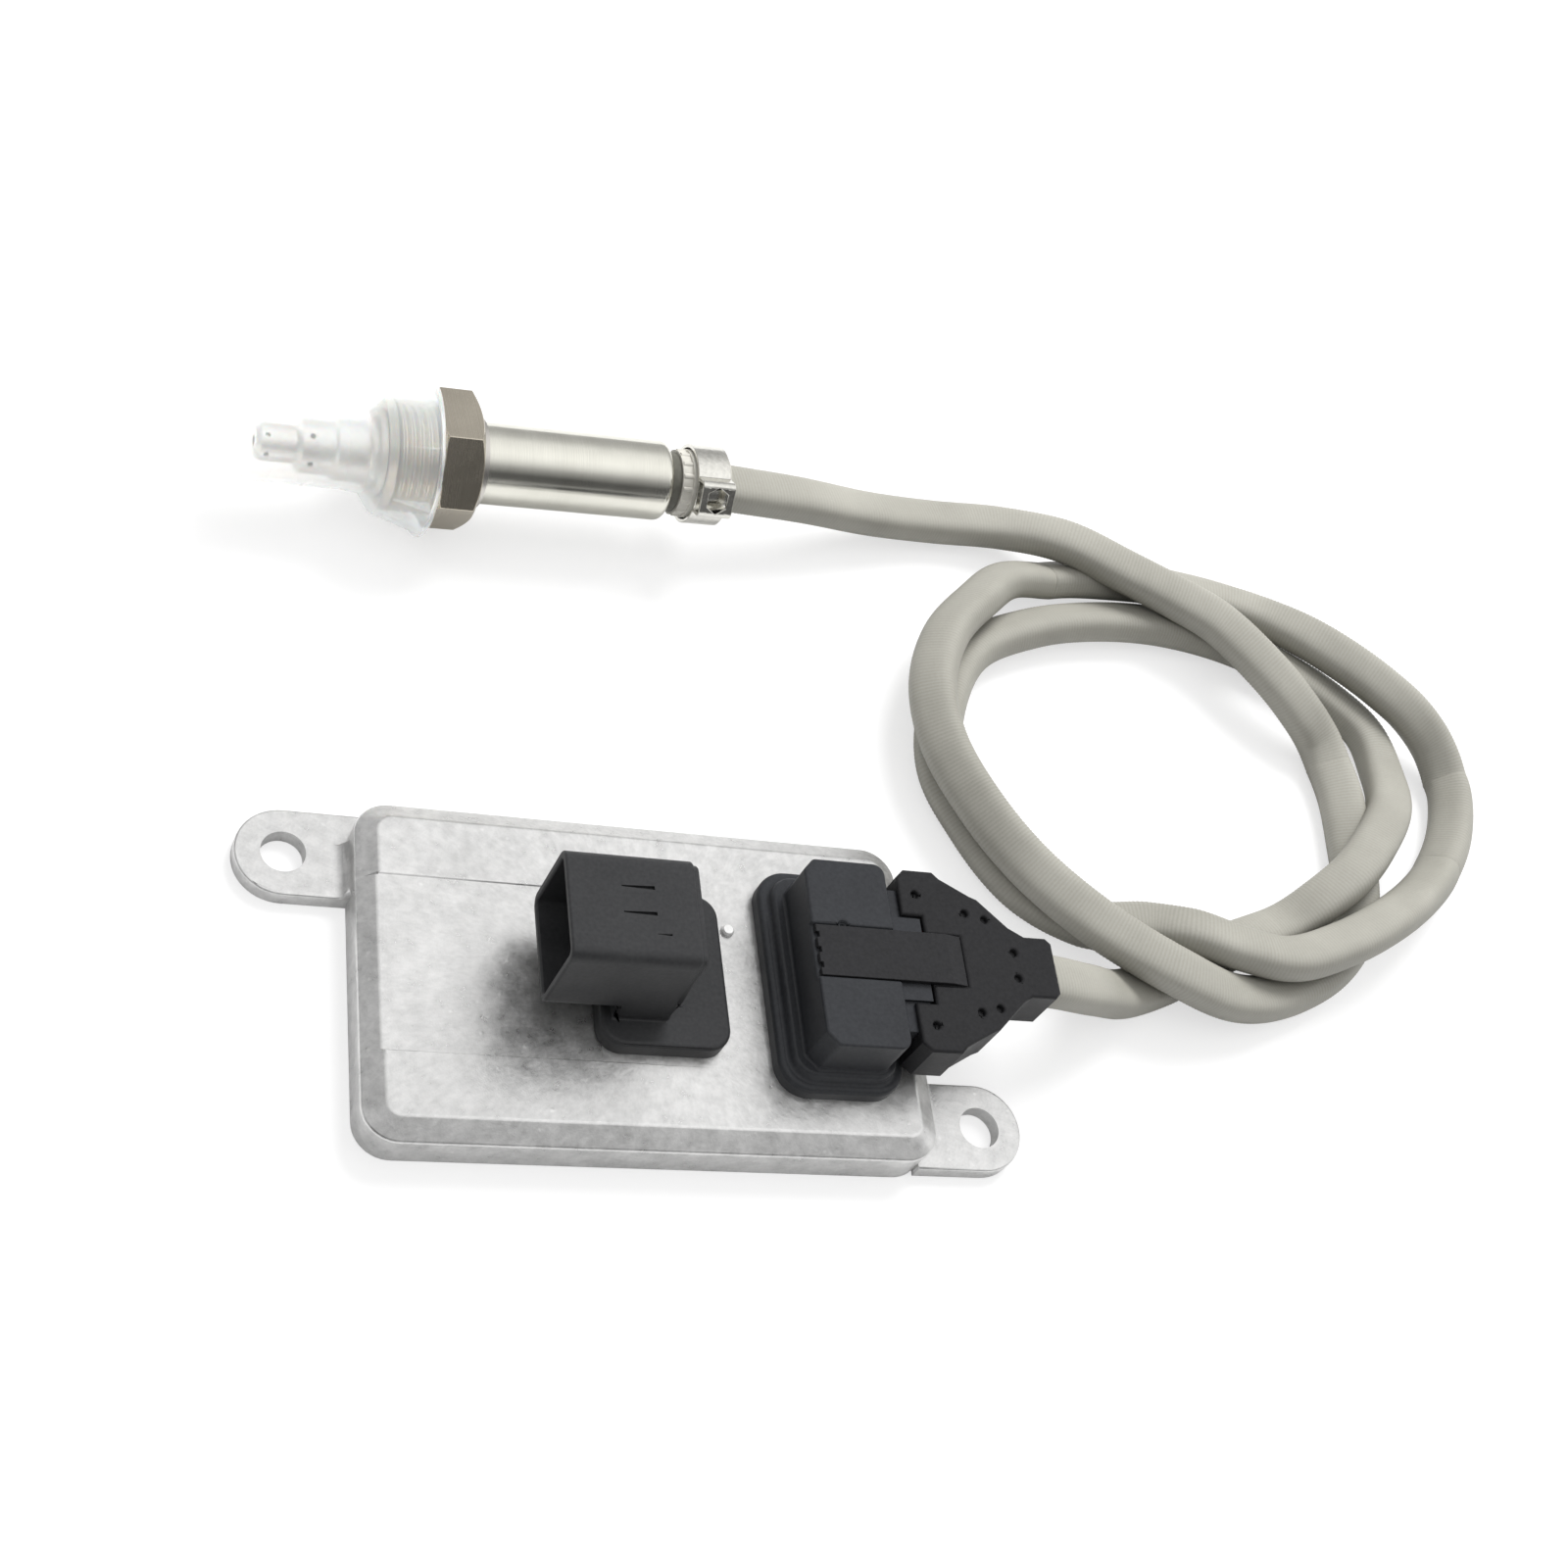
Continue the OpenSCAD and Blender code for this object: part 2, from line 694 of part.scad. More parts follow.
module sensor_header() {
    color("#2b2d31")
        difference() {
            union() {
                translate([header_x, 0, housing_h]) {
                    rounded_plate(header_flange_l, header_flange_w, 5.5, header_step_t - 0.5);
                    translate([0, 0, header_step_t - 0.5])
                        leaning_plate(header_flange_l, header_flange_w, 5.5, 0.5, 0.5);
                }
                translate([header_x, 0, pad_z - e])
                    leaning_plate(header_flange_l - 3.2, header_flange_w - 3.2, 4.4,
                        header_pad_t + e, 0.5);
                translate([block_x, 0, block_z - e])
                    linear_extrude(height = block_h + e)
                        block_outline();
                translate([header_throat_x, 0, roof_z])
                    rounded_plate(header_throat_l - 2 * fit_gap, header_throat_w - 2 * fit_gap, 1.3,
                        roof_t + 1);
            }
            // Socket for the plug
            translate([block_x + block_back, -insert_w / 2 - fit_gap, block_z + block_wall])
                cube([block_l, insert_w + 2 * fit_gap, block_h - 2 * block_wall]);
            // Channel for the tongue, and its small round notch
            translate([block_x - 1, -tongue_w / 2 - fit_gap, tongue_z])
                cube([block_l + 2, tongue_w + 2 * fit_gap, tongue_t + 2]);
            translate([block_x + 5.6, tongue_w / 2, block_top - 0.6])
                cylinder(h = 1, r = 0.9);
            translate([header_x, 0, housing_h - e])
                header_seal_shape(0.05);
            header_pin_shapes();
        }
}

module header_pins() {
    color("silver")
        header_pin_shapes();
}

module header_seal() {
    color("dimgray")
        translate([header_x, 0, housing_h])
            header_seal_shape(0);
}

// Plug
// Half widths of the shell along its length, from the header to the cable
function shell_steps(inset) = let (half = plug_w / 2 - inset, tail = plug_tail_w / 2 - inset) [
    [inset, half - 1.6],
    [inset + 1.6, half],
    [7, half],
    [8.2, tail + (half - tail) * 0.89],
    [plug_l - 14.2, tail + (half - tail) * 0.63],
    [plug_l - 12.8, tail + (half - tail) * 0.58],
    [plug_l - 7.2, tail + (half - tail) * 0.09],
    [plug_l - 5.4, tail],
    [plug_l - inset - 1, tail],
    [plug_l - inset, tail - 1]
];

module shell_outline(inset) {
    steps = shell_steps(inset);
    last = len(steps) - 1;
    polygon(concat(steps, [for (i = [last : -1 : 0]) [steps[i][0], -steps[i][1]]]));
}

module shell_half(z, h, floor_z) {
    difference() {
        translate([plug_x, 0, z])
            linear_extrude(height = h)
                shell_outline(0);
        translate([plug_x, 0, floor_z])
            linear_extrude(height = h)
                shell_outline(plug_wall);
        // Mouth for the insert
        translate([plug_x - 1, -insert_w / 2 - fit_gap, insert_z - fit_gap])
            cube([insert_end - plug_x + 1 + fit_gap, insert_w + 2 * fit_gap,
                insert_h + 2 * fit_gap]);
        grommet_shape(plug_wall + 1, fit_gap / 2);
    }
}

module plug_shell_top() {
    color("#222325")
        difference() {
            shell_half(plug_mid, plug_h / 2, plug_mid - plug_wall);
            // Notch in which the insert's deck lies
            translate([plug_x - 1, -deck_w / 2 - 0.5, plug_mid])
                cube([notch_l + 1, deck_w + 1, plug_h]);
            translate([plug_x - 1, -tongue_w / 2 - fit_gap, tongue_z])
                cube([tongue_x + tongue_l - plug_x + 1 + fit_gap, tongue_w + 2 * fit_gap,
                    tongue_t + 1]);
            for (p = core_holes, side = [-1, 1])
                translate([plug_x + p[0], side * p[1], plug_top - 0.9])
                    cylinder(h = 2, r = 0.62);
        }
}

module plug_shell_base() {
    color("#222325")
        shell_half(plug_z, plug_h / 2, plug_z + plug_wall);
}

module plug_tongue() {
    color("#28292b")
        difference() {
            translate([tongue_x, -tongue_w / 2, tongue_z])
                cube([tongue_l, tongue_w, tongue_t]);
            // Its right end slopes down to the shell.
            rotate([90, 0, 0])
                linear_extrude(height = tongue_w + 2, center = true)
                    polygon([[tongue_x + tongue_l - 3, block_top + e],
                        [tongue_x + tongue_l + 1, block_top + e],
                        [tongue_x + tongue_l + 1, plug_top], [tongue_x + tongue_l, plug_top]]);
            // Notches at its tip for the header's lugs
            for (y = [-0.3, 0, 0.3])
                translate([tongue_x - 1, y * tongue_w - 0.5, tongue_z - 1])
                    cube([1.5, 1, tongue_t + 2]);
        }
}

module plug_insert() {
    color("#303236")
        difference() {
            union() {
                translate([insert_x, -insert_w / 2, insert_z])
                    cube([insert_end - insert_x, insert_w, insert_h]);
                translate([block_end + 0.3, -deck_w / 2, insert_z + insert_h - e])
                    cube([plug_x + notch_l - 0.5 - block_end - 0.3, deck_w,
                        tongue_z - insert_z - insert_h - 0.1]);
            }
            contact_shapes(contact_size + 0.1);
            for (i = [0 : pins_per_row - 1], j = [0, 1])
                translate([insert_x - 1, pin_y(i) - pin_size / 2 - 0.1,
                        pin_rows[j] - pin_size / 2 - 0.1])
                    cube([9, pin_size + 0.2, pin_size + 0.2]);
        }
}

module contact_shapes(size) {
    for (i = [0 : pins_per_row - 1], j = [0, 1])
        translate([contact_x, pin_y(i) - size / 2, pin_rows[j] - size / 2])
            cube([insert_end + 1 - contact_x, size, size]);
}

module plug_contacts() {
    color("goldenrod")
        difference() {
            contact_shapes(contact_size);
            for (i = [0 : pins_per_row - 1], j = [0, 1])
                translate([contact_x - 1, pin_y(i) - pin_size / 2 - 0.02,
                        pin_rows[j] - pin_size / 2 - 0.02])
                    cube([insert_end - 1 - contact_x, pin_size + 0.04, pin_size + 0.04]);
        }
}

// Each wire runs straight from its contact to its place at the grommet.
module plug_wires() {
    far = plug_end - grommet_depth - 0.3;
    color("firebrick")
        for (i = [0 : pins_per_row - 1], j = [0, 1])
            wire_between([insert_end + 1.3, pin_y(i), pin_rows[j]],
                [far, pin_y(i) * 0.22, plug_mid + (j - 0.5) * 1.5]);
}

module wire_between(from, to) {
    d = to - from;
    translate(from)
        rotate([0, atan2(-d[2], norm([d[0], d[1]])), atan2(d[1], d[0])])
            rotate([0, 90, 0])
                cylinder(h = norm(d), r = wire_r);
}

// Oval plug of rubber in the shell's tail: two rods and the block between them
module grommet_shape(length, gap) {
    r = sleeve_t / 2 - 0.3 + gap;
    half = sleeve_w / 2 - 0.3 + gap - r;
    translate([plug_end - length, 0, plug_mid]) {
        for (y = [-half, half])
            translate([0, y, 0])
                rotate([0, 90, 0])
                    cylinder(h = length + 1, r = r);
        translate([0, -half, -r])
            cube([length + 1, 2 * half, 2 * r]);
    }
}

module cable_grommet() {
    color("#3a3a3c")
        difference() {
            grommet_shape(grommet_depth, 0);
            translate([plug_end, -10, plug_mid - 10])
                cube([20, 20, 20]);
        }
}

// Cable
function unit(v) = v / norm(v);
function probe_dir() = [cos(probe_yaw), sin(probe_yaw), 0];
function cable_points() = concat([[plug_end, 0, plug_mid]], route,
    [probe_pos + cable_x * probe_dir()]);
function ring_dir(pts, i) =
    i == 0 ? [1, 0, 0]
    : i == len(pts) - 1 ? -probe_dir()
    : unit(unit(pts[i] - pts[i - 1]) + unit(pts[i + 1] - pts[i]));
// One oval ring, wide across the floor, at right angles to the cable
function ring(p, dir) = let (side = unit(cross([0, 0, 1], dir)), up = cross(dir, side))
    [for (k = [0 : sleeve_sides - 1]) let (a = 360 * (k + 0.5) / sleeve_sides)
        p + side * (cos(a) * sleeve_w / 2) + up * (sin(a) * sleeve_t / 2)];

module cable_sleeve() {
    pts = cable_points();
    n = len(pts);
    m = sleeve_sides;
    color("#b9b7ac")
        polyhedron(
            points = [for (i = [0 : n - 1]) each ring(pts[i], ring_dir(pts, i))],
            faces = concat(
                [[for (k = [0 : m - 1]) k]],
                [for (i = [0 : n - 2], k = [0 : m - 1])
                    let (a = i * m + k, b = i * m + (k + 1) % m) [a, a + m, b + m, b]],
                [[for (k = [m - 1 : -1 : 0]) (n - 1) * m + k]]),
            convexity = 12);
}

// Probe
module sleeve_boot() {
    // The sleeve's end, drawn over the grommet and gathered into flutes in front of the clamp
    color("#a5a39a")
        on_probe()
            difference() {
                union() {
                    rod_x(boot_x + fit_gap, boot_l - fit_gap, boot_r - 0.35);
                    rod_x(band_x - 0.5, boot_x + boot_l - band_x + 0.5, boot_r);
                    for (k = [0 : 14])
                        rotate([k * 24 + 3, 0, 0])
                            translate([boot_x + fit_gap + 0.2, 0, boot_r - 0.7])
                                rotate([0, 90, 0])
                                    cylinder(h = band_x - boot_x - 0.4, r = 0.6, $fn = 24);
                }
                rod_x(boot_x - 1, boot_l - 1.2, spigot_r + fit_gap);
            }
}

// The band, with its ear raised over it as a loop
module band_profile() {
    top = band_r + clamp_ear_h;
    round_r = 1.2;
    difference() {
        union() {
            circle(r = band_r);
            translate([0, -ear_half])
                square([top - round_r, 2 * ear_half]);
            translate([band_r, round_r - ear_half])
                square([clamp_ear_h, 2 * (ear_half - round_r)]);
            for (y = [-1, 1])
                translate([top - round_r, y * (ear_half - round_r)])
                    circle(r = round_r);
        }
        circle(r = band_r - band_t);
        difference() {
            translate([band_r - 1, band_t - ear_half])
                square([1 + clamp_ear_h - band_t, 2 * (ear_half - band_t)]);
            circle(r = band_r);
        }
    }
}

module sleeve_clamp() {
    color("lightgray")
        on_probe()
            translate([band_x, 0, 0])
                rotate([90, 0, 90])
                    rotate([0, 0, 180 - clamp_ear_angle])
                        difference() {
                            linear_extrude(height = band_w)
                                band_profile();
                            // Six-sided window in the ear
                            translate([band_r + clamp_ear_h - band_t - 0.5, 0, band_w / 2])
                                rotate([90, 0, 90])
                                    linear_extrude(height = band_t + 1)
                                        polygon([[-2.5, 0], [-1.3, -1.9], [1.3, -1.9], [2.5, 0],
                                            [1.3, 1.9], [-1.3, 1.9]]);
                        }
}

module wire_grommet() {
    color("#1d1d1e")
        on_probe()
            difference() {
                union() {
                    rod_x(can_end - grommet_in, grommet_in - can_roll_r - 0.2, can_r - can_wall - 0.1);
                    rod_x(can_end - can_roll_r - 1, can_roll_r + 1 + e, neck_r - 0.1);
                    rod_x(can_end - e, grommet_l + e, groove_r);
                    rod_x(boot_x - 1, boot_l - 1.6, spigot_r);
                }
                for (p = wire_spots)
                    translate([0, p[0], p[1]])
                        rod_x(can_end - grommet_in - 1, grommet_in + grommet_l + boot_l, wire_r + 0.05);
            }
}

module probe_wires() {
    color("firebrick")
        on_probe()
            for (p = wire_spots)
                translate([0, p[0], p[1]])
                    rod_x(holder_x + holder_l, cable_x - 2.4 - holder_x - holder_l, wire_r);
}

module probe_housing() {
    // Quarter circle of the rolled end, as [distance, radius]
    outer = [for (a = [90 : -10 : 0]) [can_end + can_roll_r * (cos(a) - 1),
        neck_r + can_roll_r * sin(a)]];
    r_in = can_roll_r - can_wall;
    inner = [for (a = [0 : 10 : 90]) [can_end - can_roll_r + r_in * cos(a),
        neck_r + r_in * sin(a)]];
    color("lightgray")
        on_probe()
            turned(concat([[can_x, can_r - can_wall], [can_x, can_r]], outer, inner));
}

module sensor_body() {
    front = body_front;
    color("gray")
        on_probe()
            difference() {
                union() {
                    rod_x(front, body_flange_t, body_flange_r);
                    rod_x(front, collar_x - front + e, body_r);
                    rod_x(collar_x, collar_t, collar_r);
                    // Spigot inside the steel housing
                    rod_x(collar_x + collar_t - e, 8, can_r - can_wall - 0.02);
                }
                rod_x(front - 1, collar_x + collar_t + 9 - front + 1, bore_r);
            }
}

module holder_at(x, l, hole_w, hole_t, tone) {
    color(tone)
        on_probe()
            difference() {
                rod_x(x, l, bore_r - 0.05);
                translate([x - 1, -hole_w / 2, -hole_t / 2])
                    cube([l + 2, hole_w, hole_t]);
            }
}

module front_insulator() {
    holder_at(body_front + 1, stack_l, element_w + 0.1, element_t + 0.1, "white");
}

module powder_packing() {
    holder_at(body_front + 1 + stack_l, 5, element_w, element_t, "gainsboro");
}

module rear_insulator() {
    holder_at(body_front + 6 + stack_l, stack_l, element_w + 0.1, element_t + 0.1, "white");
}

module contact_holder() {
    color("ivory")
        on_probe()
            difference() {
                rod_x(holder_x, holder_l, can_r - can_wall - 0.1);
                translate([holder_x - 1, -element_w / 2 - 0.1, -element_t / 2 - 0.1])
                    cube([holder_l - 2, element_w + 0.2, element_t + 0.2]);
            }
}

module ceramic_element() {
    color("whitesmoke")
        on_probe()
            translate([tube_tip + 2.2, -element_w / 2, -element_t / 2])
                cube([holder_x + holder_l - 4 - tube_tip - 2.2, element_w, element_t]);
}

module inner_tube() {
    tip = tube_tip + 1.2;
    color("silver")
        on_probe()
            difference() {
                turned([[tube_x, bore_r - 0.1], [tube_x, body_r - 0.6], [tube_x - 0.6, body_r - 0.6],
                    [tube_x - 0.6, inner_r + 1.4], [tube_x - 5, inner_r], [tip, inner_r], [tip, 0.8],
                    [tip + 0.3, 0.8], [tip + 0.3, inner_r - 0.3], [tube_x - 5.1, inner_r - 0.3],
                    [tube_x - 0.8, inner_r + 1]]);
                for (k = [0 : 3])
                    rotate([k * 90 + 45, 0, 0])
                        translate([tube_x - 9, 0, 0])
                            cylinder(h = 6, r = 0.6);
            }
}

// Stepped tube over the element, with gas holes in its steps and its nose
module outer_tube() {
    s1 = tube_x - tube_l * tube_step[0];
    s2 = s1 - tube_l * tube_step[1];
    w = tube_wall;
    outer = [[tube_x, body_r], [tube_x - 1, body_r], [tube_x - 1.6, tube_r[0]], [s1, tube_r[0]],
        [s1 - 0.5, tube_r[1]], [s2, tube_r[1]], [s2 - 0.8, tube_r[2]],
        [tube_tip + 0.8, tube_r[2]], [tube_tip, tube_r[2] - 0.8], [tube_tip, 0.9]];
    inner = [[tube_tip + w, 0.9], [tube_tip + w, tube_r[2] - 0.8 - w / 2],
        [tube_tip + 0.8 + w / 2, tube_r[2] - w], [s2 - 0.8 + w / 2, tube_r[2] - w],
        [s2 + w, tube_r[1] - w], [s1 - 0.5 + w / 2, tube_r[1] - w], [s1 + w, tube_r[0] - w],
        [tube_x - 0.7, tube_r[0] - w], [tube_x - 0.6, body_r - 0.5], [tube_x, body_r - 0.5]];
    color("lightgray")
        on_probe()
            difference() {
                turned(concat(outer, inner));
                for (k = [0 : 5])
                    rotate([k * 60 + 20, 0, 0]) {
                        translate([tube_tip + 1.8, 0, 0])
                            cylinder(h = 8, r = 0.45);
                        translate([s2 + 1.6, 0, 0])
                            cylinder(h = 8, r = 0.5);
                    }
            }
}

module seat_gasket() {
    color("silver")
        on_probe()
            ring_x(-seat_t, seat_t, thread_r + 1.2, thread_r + 0.1);
}

module fitting_nut() {
    color("#8c8478")
        on_probe()
            difference() {
                union() {
                    // Hexagon with its corners turned off
                    intersection() {
                        rotate([hex_turn, 0, 0])
                            rotate([0, 90, 0])
                                cylinder(h = hex_t, r = hex_af / 2 / cos(30), $fn = 6);
                        turned([[0, 0], [0, hex_af / 2 + 1.2], [0.4, hex_af / 2 + 2],
                            [hex_t - 1.2, hex_af / 2 + 2], [hex_t, hex_af / 2 - 0.2], [hex_t, 0]]);
                    }
                    turned([[-thread_l, 0], [-thread_l, thread_r - 1.1], [1.1 - thread_l, thread_r],
                        [e, thread_r], [e, 0]]);
                }
                rod_x(-thread_l - 1, thread_l + hex_t + 2, body_r + turn_gap);
            }
}

// Clear cap pushed over the thread: a nose, a flared skirt with a thin collar, and inside
// the skirt six ribs that centre it on the thread
module transport_cap() {
    w = cap_wall;
    nose = cap_nose_r;
    shoulder = tube_x + 1.5;
    grip_r = thread_r + cap_gap;
    color("white", 0.4)
        on_probe() {
            turned([[cap_tip, 0], [cap_tip, nose - 1], [cap_tip + 1, nose], [cap_neck, nose],
                [cap_flare, nose + 0.4], [shoulder - 1, cap_r - 0.4], [shoulder, cap_r],
                [cap_collar_x, cap_skirt_r], [cap_collar_x, cap_collar_r],
                [cap_open, cap_collar_r], [cap_open, cap_skirt_r - w], [shoulder + 0.1, cap_r - w],
                [shoulder - 1 + 0.8 * w, cap_r - 0.4 - 0.55 * w],
                [cap_flare + 0.8 * w, nose + 0.4 - 0.55 * w], [cap_neck, nose - w],
                [cap_tip + 1 + w / 2, nose - w], [cap_tip + w, nose - w - 0.6], [cap_tip + w, 0]]);
            for (k = [0 : 5])
                rotate([k * 60 + 30, 0, 0])
                    translate([0, 0.35, 0])
                        rotate([90, 0, 0])
                            linear_extrude(height = 0.7)
                                polygon([[shoulder + 1.2, grip_r], [cap_open - 0.2, grip_r],
                                    [cap_open - 0.2, cap_skirt_r - w / 2 - 0.1],
                                    [shoulder + 1.2, cap_r + 0.1]]);
        }
}

unit_housing();
base_cover();
base_seal();
cover_screws();
circuit_board();
board_parts();
board_screws();
vent_plug();
data_connector();
data_pins();
data_seal();
sensor_header();
header_pins();
header_seal();
plug_shell_top();
plug_shell_base();
plug_tongue();
plug_insert();
plug_contacts();
plug_wires();
cable_grommet();
cable_sleeve();
sleeve_boot();
sleeve_clamp();
wire_grommet();
probe_wires();
probe_housing();
sensor_body();
contact_holder();
rear_insulator();
powder_packing();
front_insulator();
ceramic_element();
inner_tube();
outer_tube();
seat_gasket();
fitting_nut();
transport_cap();
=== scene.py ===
import json
import math

import bmesh
import bpy
from mathutils import Matrix, Vector


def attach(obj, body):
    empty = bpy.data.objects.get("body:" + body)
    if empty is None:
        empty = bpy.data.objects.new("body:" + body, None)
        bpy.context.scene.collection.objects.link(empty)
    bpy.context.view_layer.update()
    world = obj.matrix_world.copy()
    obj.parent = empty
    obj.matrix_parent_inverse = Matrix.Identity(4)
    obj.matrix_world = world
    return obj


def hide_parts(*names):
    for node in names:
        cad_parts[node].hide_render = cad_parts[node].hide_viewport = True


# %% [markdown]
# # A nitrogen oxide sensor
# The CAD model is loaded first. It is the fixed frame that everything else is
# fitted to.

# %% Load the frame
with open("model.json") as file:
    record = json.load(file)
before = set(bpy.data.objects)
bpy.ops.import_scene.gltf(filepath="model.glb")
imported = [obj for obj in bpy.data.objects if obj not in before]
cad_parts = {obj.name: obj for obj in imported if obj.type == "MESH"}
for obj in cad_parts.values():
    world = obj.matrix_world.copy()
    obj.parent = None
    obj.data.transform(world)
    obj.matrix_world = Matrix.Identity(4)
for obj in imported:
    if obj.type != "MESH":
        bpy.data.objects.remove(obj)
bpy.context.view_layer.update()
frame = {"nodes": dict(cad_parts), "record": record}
nodes = frame["nodes"]
MM = 0.001
print("nodes loaded:", len(nodes))

# %% [markdown]
# ## Camera
# The camera was fitted to the straight edges of the control unit: it looks down
# at the part from the left front. Its three directions are unit vectors.

# %% Place the camera
camera = bpy.data.objects.new("camera", bpy.data.cameras.new("camera"))
bpy.context.scene.collection.objects.link(camera)
bpy.context.scene.camera = camera
camera.data.sensor_width = 36
camera.data.lens = 51.27
camera.data.clip_start = 0.01
camera_place = Vector((-120.66, -160.38, 312.13)) * MM
camera.matrix_world = Matrix((
    (0.9203, -0.0968, -0.3789, camera_place.x),
    (-0.1205, 0.8515, -0.5103, camera_place.y),
    (0.3721, 0.5153, 0.7720, camera_place.z),
    (0, 0, 0, 1)))
print("camera at", [round(v, 3) for v in camera_place])

# %% [markdown]
# ## Cable
# The sleeve is one fixed length of flat, ribbed tube. Its route is the list of
# points that the CAD model uses. A smooth curve goes through them all, and it is
# cut into steps of half a rib, so that every second ring is a little larger.

# %% Route of the cable, in millimetres
ROUTE = [
    (67.6, 0, 17.4),
    (80, 1.5, 12.5), (91, 5, 5.5), (102, 9.5, 3.5), (117, 17, 3.5), (132, 23, 4.5), (139, 27, 8),
    (146, 32, 10.5), (154, 40, 10.5), (162, 50, 8), (166.5, 61, 4), (165.5, 71, 3.5),
    (158, 79, 3.5), (147, 85.5, 3.5), (133.5, 90, 3.5), (119, 91.5, 3.5), (104, 90, 3.5),
    (89, 86, 3.5), (74, 78, 3.5), (66, 65, 3.5), (63, 50, 3.5), (67, 39, 3.5), (76, 26, 3.5),
    (88, 20, 3.5), (99, 19, 6.5), (106, 16.5, 10), (115, 13.5, 10.7), (126, 12, 10.7),
    (139, 16, 10.9), (151, 22, 10.9), (163.5, 30.5, 8), (173, 39, 4.5), (179.5, 49, 3.5),
    (182.5, 60, 4), (180, 67.5, 6.5), (174, 73.2, 9.4), (167.5, 78.4, 10.4), (160.5, 84, 10.3),
    (153, 89.8, 9.2), (145.5, 95.4, 6.8), (136, 99.8, 4.6), (123, 102, 3.6), (109, 101, 3.5),
    (96, 99, 4), (84, 95, 7), (75, 87, 9.5), (66, 77, 10.5), (61, 65, 10.5), (61, 52, 10.5),
    (66, 39, 10.5), (74, 27, 10.5), (85, 16, 11.3), (100, 7, 11.3), (114, 5, 7), (127, 8, 4),
    (139, 14, 3.5), (147, 22, 3.5), (151, 31, 3.5), (153, 43, 3.5), (154, 56, 3.5), (152, 66, 5),
    (147, 71, 8), (140, 78, 10.4), (130, 89, 10.7), (121, 94, 10.7), (110, 99, 10.7),
    (98.1, 105.2, 9.6), (86.3, 109.6, 5.6), (71.5, 109.3, 4.6), (55.7, 106.5, 7.2),
    (38.6, 103.6, 11.4),
]
PROBE = Vector((-34.57, 97.46, 14.1)) * MM
PROBE_DIR = Vector((0.9976, 0.069234, 0))
CABLE_END = 55.58 * MM
route = [Vector(p) * MM for p in ROUTE] + [PROBE + PROBE_DIR * CABLE_END]
print("route points:", len(route))

# %% [markdown]
# The curve is a centripetal Catmull-Rom curve, which passes through each point
# without loops. It is then walked in equal steps.

# %% Smooth curve through the route
def curve_point(a, b, c, d, t):
    """A point between b and c, at t from 0 to 1."""
    ta = (b - a).length ** 0.5
    tb = ta + (c - b).length ** 0.5
    tc = tb + (d - c).length ** 0.5
    t = ta + (tb - ta) * t
    ab = a.lerp(b, t / ta)
    bc = b.lerp(c, (t - ta) / (tb - ta))
    cd = c.lerp(d, (t - tb) / (tc - tb))
    return ab.lerp(bc, t / tb).lerp(bc.lerp(cd, (t - ta) / (tc - ta)), (t - ta) / (tb - ta))


def smooth_line(points, start, end):
    line = [2 * points[0] - start] + points + [2 * points[-1] - end]
    fine = []
    for i in range(1, len(line) - 2):
        fine += [curve_point(*line[i - 1:i + 3], k / 24) for k in range(24)]
    return fine + [points[-1]]


def walk(line, step):
    """The same line in equal steps."""
    total = sum((b - a).length for a, b in zip(line, line[1:]))
    count = round(total / step)
    step = total / count
    out, gone = [line[0]], 0.0
    for a, b in zip(line, line[1:]):
        part = (b - a).length
        while len(out) < count and gone + part >= step * len(out):
            out.append(a.lerp(b, (step * len(out) - gone) / part))
        gone += part
    return out + [line[-1]], total


fine = smooth_line(route, route[0] + Vector((0.01, 0, 0)), route[-1] - PROBE_DIR * 0.01)
RIB = 0.7 * MM
cable_line, cable_length = walk(fine, RIB / 2)
print("cable length, m:", round(cable_length, 4), "rings:", len(cable_line))

# %% [markdown]
# The section is a rounded oblong. It turns a little about the cable as it goes,
# which shows now its broad side and now its edge.

# %% Sleeve of the cable
SLEEVE_W, SLEEVE_T = 9.0 * MM, 6.5 * MM
TURN_AT = [(0, 0), (3, -10), (6, -24), (9, -10), (11, 8), (14, 16), (17, 30), (20, 34), (22, 10),
           (25, -14), (28, -22), (31, -46), (34, -40), (37, -24), (40, 14), (43, 34), (46, 42),
           (49, 38), (52, 6), (55, -24), (59, -28), (62, -20), (65, -6), (68, 8), (72, 0)]


def eased(table, t):
    """Value of a table of (place, value) at t, with a smooth step between the entries."""
    for (ta, va), (tb, vb) in zip(table, table[1:]):
        if t <= tb:
            k = (t - ta) / (tb - ta)
            return va + (vb - va) * k * k * (3 - 2 * k)
    return table[-1][1]


def sleeve_ring(centre, forward, turn, size, sides=24):
    side = Vector((0, 0, 1)).cross(forward).normalized()
    up = forward.cross(side)
    spin = Matrix.Rotation(turn, 3, forward)
    side, up = spin @ side, spin @ up
    ring = []
    for k in range(sides):
        a = 2 * math.pi * (k + 0.5) / sides
        c, s = math.cos(a), math.sin(a)
        x = math.copysign(abs(c) ** 0.62, c) * (SLEEVE_W / 2 + size)
        y = math.copysign(abs(s) ** 0.72, s) * (SLEEVE_T / 2 + size)
        ring.append(centre + side * x + up * y)
    return ring


